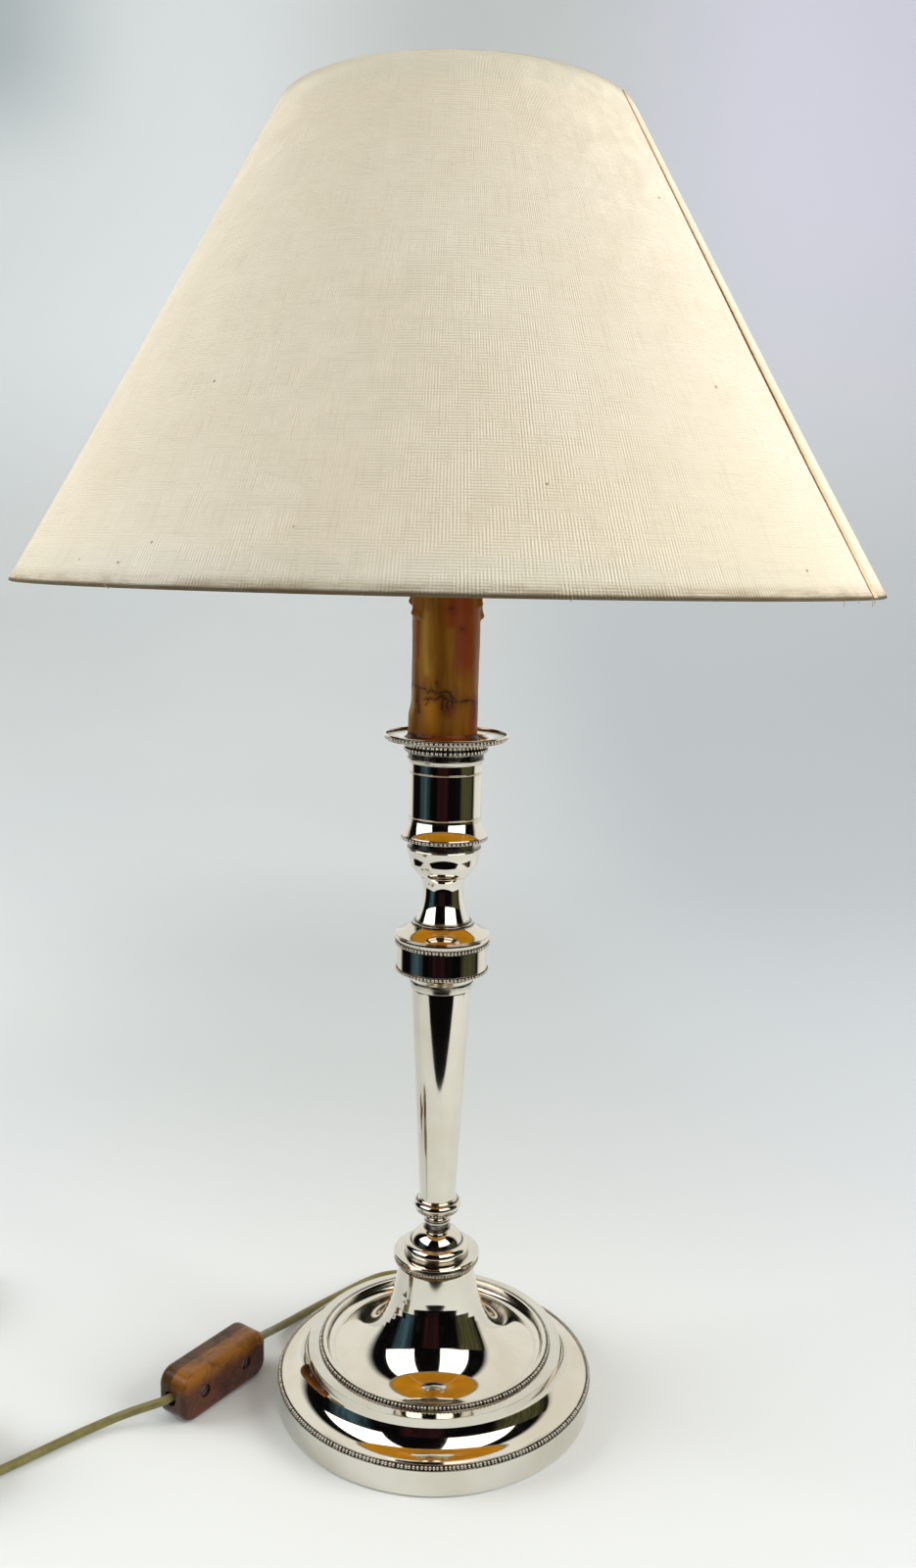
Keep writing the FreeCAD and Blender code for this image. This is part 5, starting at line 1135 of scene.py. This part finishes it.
def stage_mesh(name, points, faces, material, mirrored=True):
    """A part of the set: either only mirrored by the lamp, or only seen and lit."""
    thing = new_object(name, points, faces, material)
    thing.visible_camera = thing.visible_diffuse = thing.visible_transmission = not mirrored
    thing.visible_glossy = mirrored
    thing.visible_shadow = False


def sweep_points(half, front, bend, wall, top, drop):
    """A floor that curves up into a wall behind, as points and faces, in metres."""
    profile = [(front, -drop), (bend, -drop)]
    radius, steps = wall - bend, 16
    for k in range(1, steps + 1):
        turn = math.pi / 2 * k / steps
        profile.append((bend + radius * math.sin(turn), radius * (1 - math.cos(turn)) - drop))
    profile.append((wall, top))
    points = [(side * half, y, z) for y, z in profile for side in (-1, 1)]
    faces = [(2 * k, 2 * k + 1, 2 * k + 3, 2 * k + 2) for k in range(len(profile) - 1)]
    return points, faces


def room_around():
    """What the silver mirrors, by direction from the lamp: white paper behind it and a dark room
    in front. The panels are nearer and stand before it."""
    s = Shader("room_around")
    turn = s.bearing()
    murk = s.noise(1.1, 3.0, 0.6)
    tone = s.mix(s.range(murk, 0.5, 0.75), linear(8, 8, 9), linear(26, 22, 22))
    for turned, low, high in ((turn, 98, 112), (s.times(turn, -1.0), 118, 134)):
        tone = s.mix(s.range(turned, low, high), tone, linear(236, 236, 232))
    return s.glowing(tone)


# Panels round the front, at PANEL_REACH metres: two windows, and dim colours below them. Each
# from, to and soft edge in degrees from the viewer, lower and upper edge in metres, colour.
WINDOW = (1.9, 1.9, 1.9, 1.0)
PANELS = [
    ("panel_bright_left", -95, -40, 0, 0.275, 1.3, WINDOW),
    ("panel_bright_right", 12, 68, 0, 0.275, 1.3, WINDOW),
    ("panel_blue_left", -90, -44, 16, 0.02, 0.27, linear(64, 92, 104)),
    ("panel_red_middle", -28, 12, 9, 0.02, 0.27, linear(44, 22, 26)),
    ("panel_olive_right", 44, 100, 14, -0.2, 0.27, linear(84, 84, 56)),
]
PANEL_REACH = 0.46


def panel_glow(name, low, high, soft, color):
    """The panel's light, streaked upright and fading to black within its soft edges."""
    s = Shader(name)
    if soft:
        turn = s.bearing()
        share = s.times(s.range(turn, low, low + soft), s.range(turn, high, high - soft))
        streaks = s.noise(1.0, 3.0, 0.6, s.place((34, 34, 3)))
        share = s.times(share, s.range(streaks, 0.3, 0.62, 0.3, 1.0))
        color = s.mix(share, linear(9, 9, 10), color)
    return s.glowing(color)


def front_panel(name, low, high, soft, foot, head, color):
    """A curved panel that only the lamp mirrors."""
    points, steps = [], 16
    for height in (foot, head):
        for i in range(steps + 1):
            points.append(seen_at(low + (high - low) * i / steps, PANEL_REACH, height))
    faces = [(i, i + 1, i + 2 + steps, i + 1 + steps) for i in range(steps)]
    stage_mesh(name, points, faces, panel_glow(name, low, high, soft, color))


def sweep_paper():
    """White paper with painted light and shade: a painted shadow behind the lamp, greyer toward
    its bend on the right and far up on the left, lighter near the front and up on both sides.
    """
    s = Shader("sweep_paper", Roughness=0.95, Specular_IOR_Level=0.1)
    across, back, up = s.axes()
    grain = s.noise(3.0, 3.0, 0.5)
    tone = s.mix(s.range(grain, 0.3, 0.7), linear(222, 224, 220), linear(219, 221, 219))
    # Painted light: the paper lighter near the front, where the lamp's shadow falls.
    tone = s.mix(s.range(back, 0.25, 0.0), tone, linear(228, 230, 226))
    aside = s.math("ABSOLUTE", across)
    # Painted shadow: the shade's soft shadow on the paper behind the lamp.
    behind = s.times(s.range(back, 0.05, 0.4), s.range(back, 1.1, 0.6))
    behind = s.times(behind, s.range(aside, 0.6, 0.1, 0.0, 0.9))
    # Painted shade: greyer toward the bend on the right, fading upward.
    shaded = s.times(s.range(across, -0.05, 0.35), s.range(back, -0.6, 0.7))
    shaded = s.times(shaded, s.range(up, 0.0, 0.8, 1.0, 0.0))
    for share, color in (
        (behind, (196, 199, 196)),
        (shaded, (200, 203, 204)),
        # Painted light: lighter and bluer up on the right.
        (s.times(s.range(across, 0.1, 0.8), s.range(up, 0.2, 1.4)), (243, 240, 252)),
        # Painted light: lighter up on the left.
        (s.times(s.range(across, 0.0, -0.6), s.range(up, 0.2, 0.9)), (252, 254, 252)),
        # Painted shade: darker far up on the left.
        (s.times(s.range(across, -0.7, -1.1), s.range(up, 1.15, 1.5)), (206, 214, 214)),
    ):
        tone = s.mix(share, tone, linear(*color))
    s.set(Base_Color=tone)
    return s.material


def make_set():
    far, faces = sweep_points(4.0, -3.0, 0.9, 2.6, 4.0, 0.0002)
    stage_mesh("floor", far, faces, sweep_paper(), mirrored=False)
    paper = plain(
        "white_paper", (240, 240, 238), (236, 237, 236), 3.0,
        Roughness=0.95, Specular_IOR_Level=0.1,
    )
    near, faces = sweep_points(0.46, -0.277, 1.4, 2.0, 2.0, 0.0006)
    stage_mesh("paper_in_reflections", near, faces, paper)
    points, faces = ball(48, 96)
    stage_mesh("room_in_reflections", [p * 3.4 for p in points], faces, room_around())
    for panel in PANELS:
        front_panel(*panel)


def area_light(name, at, aim, size, power, color=(1, 1, 1)):
    data = bpy.data.lights.new(name, "AREA")
    data.shape = "RECTANGLE"
    data.size, data.size_y = size
    data.energy = power
    data.color = color
    light = bpy.data.objects.new(name, data)
    light.location = at
    light.rotation_mode = "QUATERNION"
    light.rotation_quaternion = (Vector(aim) - Vector(at)).to_track_quat("-Z", "Y")
    light.visible_glossy = False
    light.visible_camera = False
    scene.collection.objects.link(light)


def make_light():
    world = bpy.data.worlds.new("world")
    scene.world = world
    world.use_nodes = True
    sky = world.node_tree.nodes["Background"]
    sky.inputs["Color"].default_value = linear(232, 238, 242)
    sky.inputs["Strength"].default_value = 0.54
    area_light("key", (1.6, -0.45, 0.95), (0, 0, 0.4), (1.2, 1.2), 33, (1.0, 0.99, 0.97))
    area_light("fill", (-1.6, 0.0, 0.8), (0, 0, 0.4), (1.2, 1.2), 24, (0.97, 0.98, 1.0))
    area_light("floor_light", (0.0, -0.5, 1.9), (0, 0.1, 0), (1.6, 1.2), 5)


make_camera()
make_cords()
make_silver()
make_candle()
make_shade()
paint_the_rest()
make_set()
make_light()
scene.view_settings.view_transform = "Standard"
